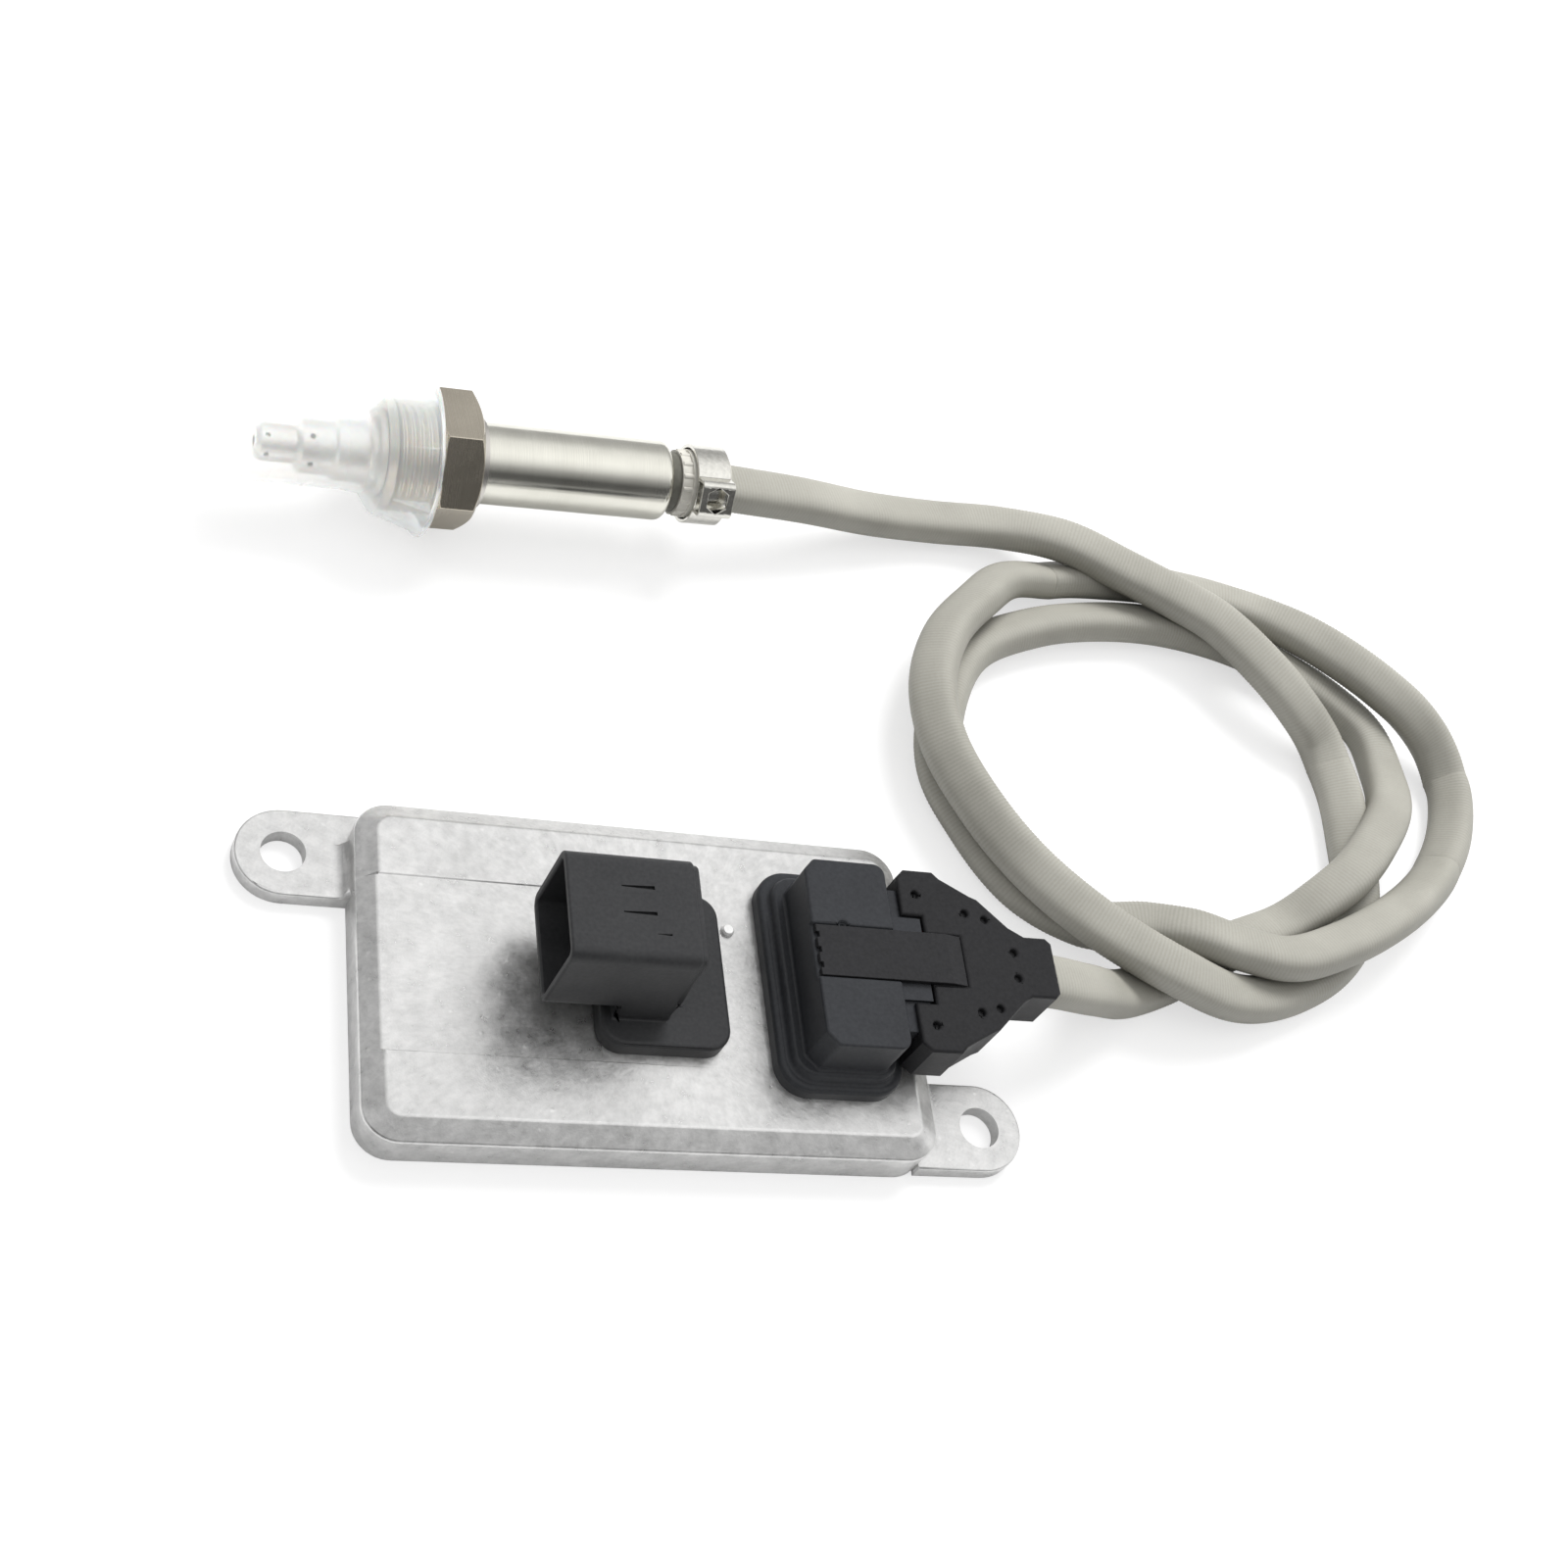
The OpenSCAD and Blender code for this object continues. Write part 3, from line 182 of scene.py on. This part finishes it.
def tube(name, rings, closed=True):
    """A mesh through rings of points, with UV: u round it, v the ring's number."""
    sides = len(rings[0])
    verts = [p for ring in rings for p in ring]
    faces = []
    for i in range(len(rings) - 1):
        for k in range(sides):
            a, b = i * sides + k, i * sides + (k + 1) % sides
            faces.append((a, b, b + sides, a + sides))
    if closed:
        faces.append(tuple(reversed(range(sides))))
        faces.append(tuple(range(len(verts) - sides, len(verts))))
    mesh = bpy.data.meshes.new(name)
    mesh.from_pydata(verts, [], faces)
    uv = mesh.uv_layers.new(name="length").data
    for i in range(len(rings) - 1):
        for k in range(sides):
            at = 4 * (i * sides + k)
            for j, (u, v) in enumerate(((k, i), (k + 1, i), (k + 1, i + 1), (k, i + 1))):
                uv[at + j].uv = (u / sides, v)
    mesh.shade_smooth()
    piece = bpy.data.objects.new(name, mesh)
    bpy.context.scene.collection.objects.link(piece)
    return piece


# Distance along the curve of every route point, as a share of the whole
gone = [0.0]
for i in range(len(route) - 1):
    span = fine[24 * i:24 * i + 25]
    gone.append(gone[-1] + sum((b - a).length for a, b in zip(span, span[1:])))
turns = [(gone[min(i, len(gone) - 1)] / gone[-1], turn) for i, turn in TURN_AT]
count = len(cable_line) - 1


def ring_at(i, size):
    before, after = cable_line[max(i - 1, 0)], cable_line[min(i + 1, count)]
    turn = math.radians(eased(turns, i / count))
    return sleeve_ring(cable_line[i], (after - before).normalized(), turn, size)


# Where the turned section would reach below the floor, the cable is lifted on to it
lifts = [max(0, 0.15 * MM - min(point.z for point in ring_at(i, 0))) for i in range(count + 1)]
cable_line = [centre + Vector((0, 0, lift)) for centre, lift in zip(cable_line, lifts)]
rings = [ring_at(i, -0.09 * MM * (1 - i % 2)) for i in range(count + 1)]
cable = tube("cable", rings)
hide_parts("cable_sleeve")
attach(cable, "unit")
[tuple(p) for p in cable_line[::4]] + [tuple(cable_line[-1])]
print("cable rings:", len(rings), "faces:", len(cable.data.polygons))

# %% [markdown]
# ## Soft edges
# Castings and mouldings have small rounded edges, which catch the light. Each of
# these pieces is a copy of its CAD solid with its flat faces joined again and its
# outer edges rounded. The copy stands for the solid and rides on the same body.

# %% Copies with rounded edges
body_of = {node: body for body, names in frame["record"]["behaviour"]["bodies"].items()
           for node in names}
slot_of = {part["node"]: part["material_slot"] for part in frame["record"]["subparts"]}


def stand_in(name, node, mesh):
    piece = bpy.data.objects.new(name, mesh)
    bpy.context.scene.collection.objects.link(piece)
    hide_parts(node)
    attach(piece, body_of[node])
    return piece


def joined_faces(node):
    """A copy of a CAD mesh in which flat triangles are joined to whole faces."""
    bm = bmesh.new()
    bm.from_mesh(nodes[node].data)
    bmesh.ops.remove_doubles(bm, verts=bm.verts, dist=0.002 * MM)
    bmesh.ops.dissolve_limit(bm, angle_limit=math.radians(0.6), verts=bm.verts, edges=bm.edges)
    return bm


def softened(name, node, width, angle=35, keep=None, reshape=None, cuts=()):
    """A stand-in whose sharp edges are rounded, all or only those that keep accepts.
    Cuts across it at the given places on the Y axis keep its large faces evenly lit."""
    bm = joined_faces(node)
    for vert in bm.verts:
        if reshape:
            vert.co = reshape(vert.co / MM) * MM
    for y in cuts:
        bmesh.ops.bisect_plane(bm, geom=bm.verts[:] + bm.edges[:] + bm.faces[:], dist=0.001 * MM,
                               plane_co=(0, y * MM, 0), plane_no=(0, 1, 0))
    weight = bm.edges.layers.float.new("bevel_weight_edge")
    for edge in bm.edges:
        middle = (edge.verts[0].co + edge.verts[1].co) / 2
        sharp = len(edge.link_faces) == 2 and edge.calc_face_angle() > math.radians(angle)
        if sharp and (keep is None or keep(middle / MM)):
            edge[weight] = 1.0
    mesh = bpy.data.meshes.new(name)
    bm.to_mesh(mesh)
    bm.free()
    mesh.shade_smooth()
    mesh.set_sharp_from_angle(angle=math.radians(30))
    piece = stand_in(name, node, mesh)
    round_off = piece.modifiers.new("rounded edges", "BEVEL")
    round_off.limit_method = "WEIGHT"
    round_off.width = width * MM
    round_off.segments = 3
    round_off.use_clamp_overlap = False
    flat = piece.modifiers.new("flat faces", "WEIGHTED_NORMAL")
    flat.weight = 100
    flat.keep_sharp = True
    return piece


def casting_edge(p):
    in_recess = p.z > 8.7 and p.x < -9 and abs(p.y) < 15.6
    recess_end = p.x < -44.9 and abs(p.y) < 15.3
    near_hole = min(math.hypot(p.x - x, p.y - y) for x, y in ((-58.4, 21.2), (58.4, -21.2))) < 4
    on_roof = p.z > 8 and -5 < p.x < 35 and abs(p.y) < 16
    return p.z > 2.5 and (recess_end or not (in_recess or near_hole or on_roof)) and (
        p.z > 6 or abs(p.x) > 49)


def slot_taper(p):
    """Draws the three slots of the shroud in to thin wedges."""
    top = p.z > 24 and -13 < p.x < -5
    for middle, left in ((3.25, -12.9), (-1.25, -12.9), (-4.7, -7.8)):
        if top and abs(p.y - middle) < 0.37 and p.x > left - 0.1:
            share = 0.3 if p.x < left + 0.1 else 0.95
            return Vector((p.x, middle + (p.y - middle) * share, p.z))
    return p


casting = softened("casting", "unit_housing", 0.35, 24, casting_edge,
                   cuts=(-15.8, -15, 15, 15.8))
header = softened("header", "sensor_header", 0.45, 35, lambda p: p.z > 9.5)
shell_top = softened("shell_top", "plug_shell_top", 0.5, 30, lambda p: p.z > 21.9)
shell_base = softened("shell_base", "plug_shell_base", 0.4, 30, lambda p: p.z < 13)
tongue = softened("tongue", "plug_tongue", 0.12, 20)
connector = softened("connector", "data_connector", 0.35, 35,
                     lambda p: p.z > 9.5 and not (p.z > 24 and -13 < p.x < -5.2 and abs(p.y) < 5.2),
                     slot_taper)
clamp = softened("clamp", "sleeve_clamp", 0.14, 35)
print("softened pieces:", 7)

# %% [markdown]
# The nut's plain cylinder is taken out of a copy of the nut, and a screw thread is
# spun in its place: a ridged line that climbs by one pitch as it goes round, cut
# off square at both ends.

# %% Nut and thread
PITCH, THREAD_R, THREAD_END = 1.5 * MM, 10 * MM, -7.9 * MM


def along_probe(point):
    """Distance of a point along the probe from the seat of the hexagon."""
    return (point - PROBE).dot(PROBE_DIR)


def from_axis(point):
    return (point - PROBE - PROBE_DIR * along_probe(point)).length


bm = joined_faces("fitting_nut")
plain = [face for face in bm.faces if all(
    THREAD_END - 0.1 * MM < along_probe(vert.co) < 0.05 * MM
    and abs(from_axis(vert.co) - THREAD_R) < 0.05 * MM for vert in face.verts)]
bmesh.ops.delete(bm, geom=plain, context="FACES")
mesh = bpy.data.meshes.new("nut")
bm.to_mesh(mesh)
bm.free()
mesh.shade_smooth()
mesh.set_sharp_from_angle(angle=math.radians(25))
nut = stand_in("nut", "fitting_nut", mesh)
round_off = nut.modifiers.new("rounded edges", "BEVEL")
round_off.width = 0.12 * MM
round_off.segments = 2
round_off.angle_limit = math.radians(40)

bm = bmesh.new()
ridges = []
for k in range(8):
    for part, depth in ((0.06, 0.0), (0.42, 0.85), (0.58, 0.85), (0.94, 0.0)):
        place = PROBE + PROBE_DIR * (THREAD_END + (k + part - 1.5) * PITCH)
        ridges.append(bm.verts.new(place + Vector((0, 0, THREAD_R - depth * MM))))
edges = [bm.edges.new(pair) for pair in zip(ridges, ridges[1:])]
bmesh.ops.spin(bm, geom=ridges + edges, cent=PROBE, axis=PROBE_DIR, angle=2 * math.pi, steps=72,
               dvec=PROBE_DIR * (PITCH / 72), use_merge=False, use_duplicate=False)
for vert in bm.verts:
    along = along_probe(vert.co)
    vert.co += PROBE_DIR * (min(max(along, THREAD_END), 0) - along)
bmesh.ops.remove_doubles(bm, verts=bm.verts, dist=0.002 * MM)
bmesh.ops.recalc_face_normals(bm, faces=bm.faces)
mesh = bpy.data.meshes.new("thread")
bm.to_mesh(mesh)
bm.free()
mesh.shade_smooth()
mesh.set_sharp_from_angle(angle=math.radians(30))
thread = bpy.data.objects.new("thread", mesh)
bpy.context.scene.collection.objects.link(thread)
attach(thread, "nut")
print("plain faces:", len(plain), "thread faces:", len(mesh.polygons))

# %% [markdown]
# ## Materials
# A small class writes shader maths as ordinary sums. Each value is one output of
# a node, and an operator between two values makes a Math node.

# %% Shader maths
class Value:
    def __init__(self, tree, socket):
        self.tree, self.socket = tree, socket

    def node(self, kind, inputs, out=0, **settings):
        """A new node with its inputs set or linked. The result is one of its outputs."""
        made = self.tree.nodes.new("ShaderNode" + kind)
        for key, value in settings.items():
            setattr(made, key, value)
        for key, value in inputs.items():
            if isinstance(value, Value):
                self.tree.links.new(value.socket, made.inputs[key])
            else:
                made.inputs[key].default_value = value
        return Value(self.tree, made.outputs[out])

    def maths(self, operation, other=0.0, third=0.0):
        return self.node("Math", {0: self, 1: other, 2: third}, operation=operation)

    def __add__(self, other):
        return self.maths("ADD", other)

    def __sub__(self, other):
        return self.maths("SUBTRACT", other)

    def __mul__(self, other):
        return self.maths("MULTIPLY", other)

    def __truediv__(self, other):
        return self.maths("DIVIDE", other)

    def sine(self):
        return self.maths("SINE")

    def noise(self, scale, detail=3.0, rough=0.5):
        return self.node("TexNoise", {"Vector": self, "Scale": scale, "Detail": detail,
                                      "Roughness": rough})

    def cells(self, scale):
        return self.node("TexVoronoi", {"Vector": self, "Scale": scale})

    def rings(self):
        """The ring's number along the cable, from the mesh's UV."""
        uv = self.node("UVMap", {}, uv_map="length")
        return uv.node("SeparateXYZ", {"Vector": uv}, out=1)

    def between(self, low, high, to_low=0.0, to_high=1.0):
        """Maps the span low to high onto another span, and stops at its ends."""
        return self.node("MapRange", {"Value": self, "From Min": low, "From Max": high,
                                      "To Min": to_low, "To Max": to_high})

    def colours(self, dark, light):
        return self.node("Mix", {0: self, 6: (*dark, 1), 7: (*light, 1)}, out=2, data_type="RGBA")

    def along(self, direction, origin):
        """How far a point lies along a direction."""
        away = self.node("VectorMath", {0: self, 1: origin}, operation="SUBTRACT")
        return away.node("VectorMath", {0: away, 1: direction}, out=1, operation="DOT_PRODUCT")


def material(name, paint, **constants):
    """A material whose varying inputs come from paint, which returns them by name."""
    made = bpy.data.materials.new(name)
    made.use_nodes = True
    tree = made.node_tree
    shader = tree.nodes["Principled BSDF"]
    for key, value in constants.items():
        shader.inputs[key.replace("_", " ")].default_value = value
    place = Value(tree, tree.nodes.new("ShaderNodeTexCoord").outputs["Object"])
    for key, value in paint(place).items():
        if key == "bump":
            height, distance, strength = value
            bump = height.node("Bump", {"Height": height, "Distance": distance,
                                        "Strength": strength})
            key, value = "Normal", bump
        tree.links.new(value.socket, shader.inputs[key])
    return made


# %% [markdown]
# The casting is mottled: broad pale and dark clouds, small bright pits and a fine
# grain. Plastics have a fine moulded grain. Turned steel has rings round its axis.

# %% Paints
def cast_paint(place):
    clouds = place.noise(70, 5, 0.62)
    blotches = place.noise(420, 4, 0.65)
    grain = place.noise(1700, 3, 0.6)
    pits = place.cells(300).between(0.0, 0.13, 1, 0)
    tone = clouds.between(0.32, 0.68) * 0.22 + blotches.between(0.35, 0.65) * 0.38 + grain * 0.4
    return {"Base Color": (tone + pits * 0.4).colours((0.48, 0.48, 0.475), (0.88, 0.876, 0.868)),
            "Roughness": blotches.between(0.3, 0.7, 0.26, 0.4),
            "bump": (grain * 0.5 + blotches + pits * 0.4, 0.0001, 0.45)}


def grained(dark, light, scale=1600, low=0.42, high=0.58, depth=0.00004):
    def paint(place):
        cloud = place.noise(120, 3)
        grain = place.noise(scale, 2)
        return {"Base Color": (cloud * 0.5 + grain * 0.5).between(0.3, 0.7).colours(dark, light),
                "Roughness": cloud.between(0.3, 0.7, low, high),
                "bump": (grain, depth, 0.5)}
    return paint


def turned(dark, light, low, high, rings=9000, depth=0.00001):
    def paint(place):
        along = place.along(PROBE_DIR, PROBE)
        lines = along.node("TexNoise", {"W": along, "Scale": rings, "Detail": 2.0},
                           noise_dimensions="1D")
        cloud = place.noise(150, 3)
        return {"Base Color": (lines * 0.6 + cloud * 0.4).between(0.3, 0.7).colours(dark, light),
                "Roughness": (lines * 0.5 + cloud * 0.5).between(0.3, 0.7, low, high),
                "bump": (lines, depth, 0.5)}
    return paint


def sleeve_paint(place):
    cloud = place.noise(45, 4)
    grain = place.noise(2200, 2)
    # Bands that turn lighter and darker with each half rib are painted light and shade of the ribs.
    painted_rib_shade = (place.rings() * math.pi).maths("COSINE").between(-1, 1)
    tone = cloud.between(0.3, 0.7) * 0.5 + grain * 0.3 + painted_rib_shade * 0.2
    return {"Base Color": tone.colours((0.24, 0.234, 0.203), (0.42, 0.41, 0.367)),
            "Roughness": cloud.between(0.3, 0.7, 0.5, 0.62),
            "bump": (grain, 0.00003, 0.4)}


def cap_paint(place):
    rim = place.node("LayerWeight", {"Blend": 0.3}, out=1)
    cloud = place.noise(160, 3)
    haze = place.noise(55, 4)
    return {"Base Color": cloud.colours((0.95, 0.945, 0.93), (1.0, 0.995, 0.98)),
            "Roughness": cloud.between(0.3, 0.7, 0.16, 0.32),
            "Alpha": rim * 0.3 + haze.between(0.3, 0.7) * 0.12 + 0.15,
            "bump": (place.noise(700, 2), 0.00005, 0.3)}


MATERIALS = {
    "cast_aluminium": material("cast aluminium", cast_paint, Metallic=0.85),
    "cover_aluminium": material("rolled aluminium", grained(
        (0.5, 0.5, 0.51), (0.76, 0.76, 0.77), 700, 0.3, 0.45), Metallic=0.9),
    "seal_rubber": material("seal rubber", grained(
        (0.02, 0.02, 0.02), (0.05, 0.05, 0.05), 1200, 0.6, 0.8)),
    "plated_steel": material("plated steel", grained(
        (0.5, 0.5, 0.48), (0.75, 0.75, 0.72), 1500, 0.25, 0.4), Metallic=1.0),
    "board_laminate": material("circuit board", grained(
        (0.01, 0.1, 0.04), (0.03, 0.2, 0.08), 900, 0.3, 0.4)),
    "chip_plastic": material("chip plastic", grained(
        (0.02, 0.02, 0.02), (0.05, 0.05, 0.05), 2000, 0.5, 0.65)),
    "vent_metal": material("vent metal", grained(
        (0.7, 0.7, 0.69), (0.9, 0.9, 0.89), 900, 0.3, 0.45), Metallic=0.4),
    "shroud_plastic": material("shroud plastic", grained(
        (0.018, 0.0185, 0.02), (0.034, 0.0345, 0.036)), Specular_IOR_Level=0.35),
    "tinned_contact": material("tinned contact", grained(
        (0.6, 0.6, 0.57), (0.82, 0.81, 0.77), 1500, 0.2, 0.35), Metallic=1.0),
    "header_plastic": material("header plastic", grained(
        (0.017, 0.018, 0.021), (0.031, 0.033, 0.037)), Specular_IOR_Level=0.32),
    "shell_plastic": material("shell plastic", grained(
        (0.008, 0.008, 0.009), (0.018, 0.018, 0.0195)), Specular_IOR_Level=0.28),
    "tongue_plastic": material("tongue plastic", grained(
        (0.01, 0.01, 0.011), (0.021, 0.021, 0.023)), Specular_IOR_Level=0.28),
    "insert_plastic": material("insert plastic", grained(
        (0.018, 0.019, 0.022), (0.03, 0.032, 0.037)), Specular_IOR_Level=0.3),
    "gilt_contact": material("gilt contact", grained(
        (0.7, 0.5, 0.2), (0.9, 0.7, 0.35), 1500, 0.2, 0.3), Metallic=1.0),
    "wire_jacket": material("wire jacket", grained(
        (0.3, 0.03, 0.03), (0.5, 0.06, 0.05), 1500, 0.35, 0.5)),
    "grommet_rubber": material("grommet rubber", grained(
        (0.08, 0.079, 0.066), (0.14, 0.138, 0.115), 1100, 0.55, 0.75)),
    "sleeve_rubber": material("sleeve rubber", sleeve_paint),
    "boot_rubber": material("boot rubber", grained(
        (0.48, 0.465, 0.42), (0.62, 0.605, 0.55), 900, 0.45, 0.6)),
    "clamp_steel": material("clamp steel", grained(
        (0.6, 0.59, 0.55), (0.8, 0.79, 0.74), 1300, 0.12, 0.24), Metallic=1.0),
    "probe_steel": material("probe steel", turned(
        (0.6, 0.59, 0.53), (0.78, 0.77, 0.7), 0.13, 0.22), Metallic=1.0),
    "body_steel": material("body steel", turned(
        (0.5, 0.48, 0.45), (0.68, 0.66, 0.62), 0.22, 0.35), Metallic=1.0),
    "ceramic": material("ceramic", grained(
        (0.8, 0.78, 0.72), (0.92, 0.9, 0.86), 1200, 0.4, 0.55)),
    "tube_steel": material("tube steel", turned(
        (0.6, 0.59, 0.56), (0.8, 0.79, 0.76), 0.22, 0.35), Metallic=1.0),
    "gasket_steel": material("gasket steel", turned(
        (0.7, 0.69, 0.65), (0.88, 0.87, 0.84), 0.15, 0.25), Metallic=1.0),
    "nickel_steel": material("nickel steel", turned(
        (0.47, 0.43, 0.355), (0.65, 0.595, 0.5), 0.2, 0.3), Metallic=1.0),
    # The cap's emission is painted light: the cap glows faintly, though it is no lamp.
    "clear_cap": material("clear cap", cap_paint, IOR=1.45, Subsurface_Weight=0.4,
                          Emission_Color=(1, 1, 0.98, 1), Emission_Strength=0.2),
}
cable.data.materials.append(MATERIALS["sleeve_rubber"])
for piece, slot in ((casting, "cast_aluminium"), (header, "header_plastic"),
                    (shell_top, "shell_plastic"), (shell_base, "shell_plastic"),
                    (tongue, "tongue_plastic"), (connector, "shroud_plastic"),
                    (clamp, "clamp_steel"), (nut, "nickel_steel"), (thread, "nickel_steel")):
    piece.data.materials.clear()
    piece.data.materials.append(MATERIALS[slot])
for name, node in nodes.items():
    finish = MATERIALS[slot_of[name]]
    node.data.materials.clear()
    node.data.materials.append(finish)
print("materials:", len(MATERIALS))

# %% [markdown]
# ## Stage
# A white floor and soft light from the right rear. The floor adds a plain glow for
# what the camera and clear plastic see, so it is white but keeps its shadows.

# %% Floor, lamps and world
def stage_material():
    made = bpy.data.materials.new("white floor")
    made.use_nodes = True
    tree = made.node_tree
    tree.nodes.clear()
    path = tree.nodes.new("ShaderNodeLightPath")
    seen = Value(tree, path.outputs["Is Camera Ray"])
    seen = seen.maths("MAXIMUM", Value(tree, path.outputs["Is Transmission Ray"]))
    paper = seen.node("BsdfDiffuse", {"Color": (0.8, 0.8, 0.8, 1)})
    glow = seen.node("Emission", {"Color": (1, 1, 1, 1), "Strength": 1.22})
    both = seen.node("MixShader", {0: seen * 0.52, 1: paper, 2: glow})
    out = tree.nodes.new("ShaderNodeOutputMaterial")
    tree.links.new(both.socket, out.inputs["Surface"])
    return made


mesh = bpy.data.meshes.new("floor")
bm = bmesh.new()
bmesh.ops.create_grid(bm, x_segments=1, y_segments=1, size=3)
bmesh.ops.translate(bm, vec=(0, 0, -0.0001), verts=bm.verts)
bm.to_mesh(mesh)
bm.free()
mesh.materials.append(stage_material())
floor = bpy.data.objects.new("floor", mesh)
bpy.context.scene.collection.objects.link(floor)


def soft_lamp(name, place, aim, size, power):
    lamp = bpy.data.objects.new(name, bpy.data.lights.new(name, "AREA"))
    lamp.data.shape = "DISK"
    lamp.data.size = size
    lamp.data.energy = power
    lamp.location = place
    lamp.rotation_euler = (Vector(aim) - Vector(place)).to_track_quat("-Z", "Y").to_euler()
    lamp.visible_glossy = False
    bpy.context.scene.collection.objects.link(lamp)


soft_lamp("lamp_key", (0.45, 0.8, 1.0), (0.05, 0.05, 0), 0.7, 17)
soft_lamp("lamp_fill", (-0.7, -0.3, 0.9), (0.05, 0.05, 0), 0.9, 2)

world = bpy.data.worlds.new("room")
bpy.context.scene.world = world
world.use_nodes = True
tree = world.node_tree
path = tree.nodes.new("ShaderNodeLightPath")
seen = Value(tree, path.outputs["Is Camera Ray"])
facing = Value(tree, tree.nodes.new("ShaderNodeTexCoord").outputs["Generated"])
parts = facing.node("SeparateXYZ", {"Vector": facing})
right, back, height = (Value(tree, out) for out in parts.socket.node.outputs)
angle = back.maths("ARCTAN2", height) * (1 / math.pi) + 0.5
sky = tree.nodes.new("ShaderNodeValToRGB")
tree.links.new(angle.socket, sky.inputs["Fac"])
stops = [(0.0, 0.6), (0.03, 0.3), (0.06, 0.1), (0.15, 0.08), (0.2, 0.2), (0.26, 0.34), (0.32, 0.62),
         (0.38, 0.86), (0.47, 1.0), (0.57, 0.95), (0.69, 0.8), (0.8, 0.5), (0.9, 0.4), (1.0, 0.42)]
while len(sky.color_ramp.elements) < len(stops):
    sky.color_ramp.elements.new(0.5)
for stop, (place, level) in zip(sky.color_ramp.elements, stops):
    stop.position = place
    stop.color = (level, level, level, 1)
level = Value(tree, sky.outputs["Color"]) * right.between(-0.75, 0, 0.55, 1.3)
tree.links.new(level.maths("MAXIMUM", seen).socket, tree.nodes["Background"].inputs["Strength"])
tree.nodes["Background"].inputs["Color"].default_value = (1, 1, 1, 1)
bpy.context.scene.view_settings.view_transform = "Standard"
print("stage ready")
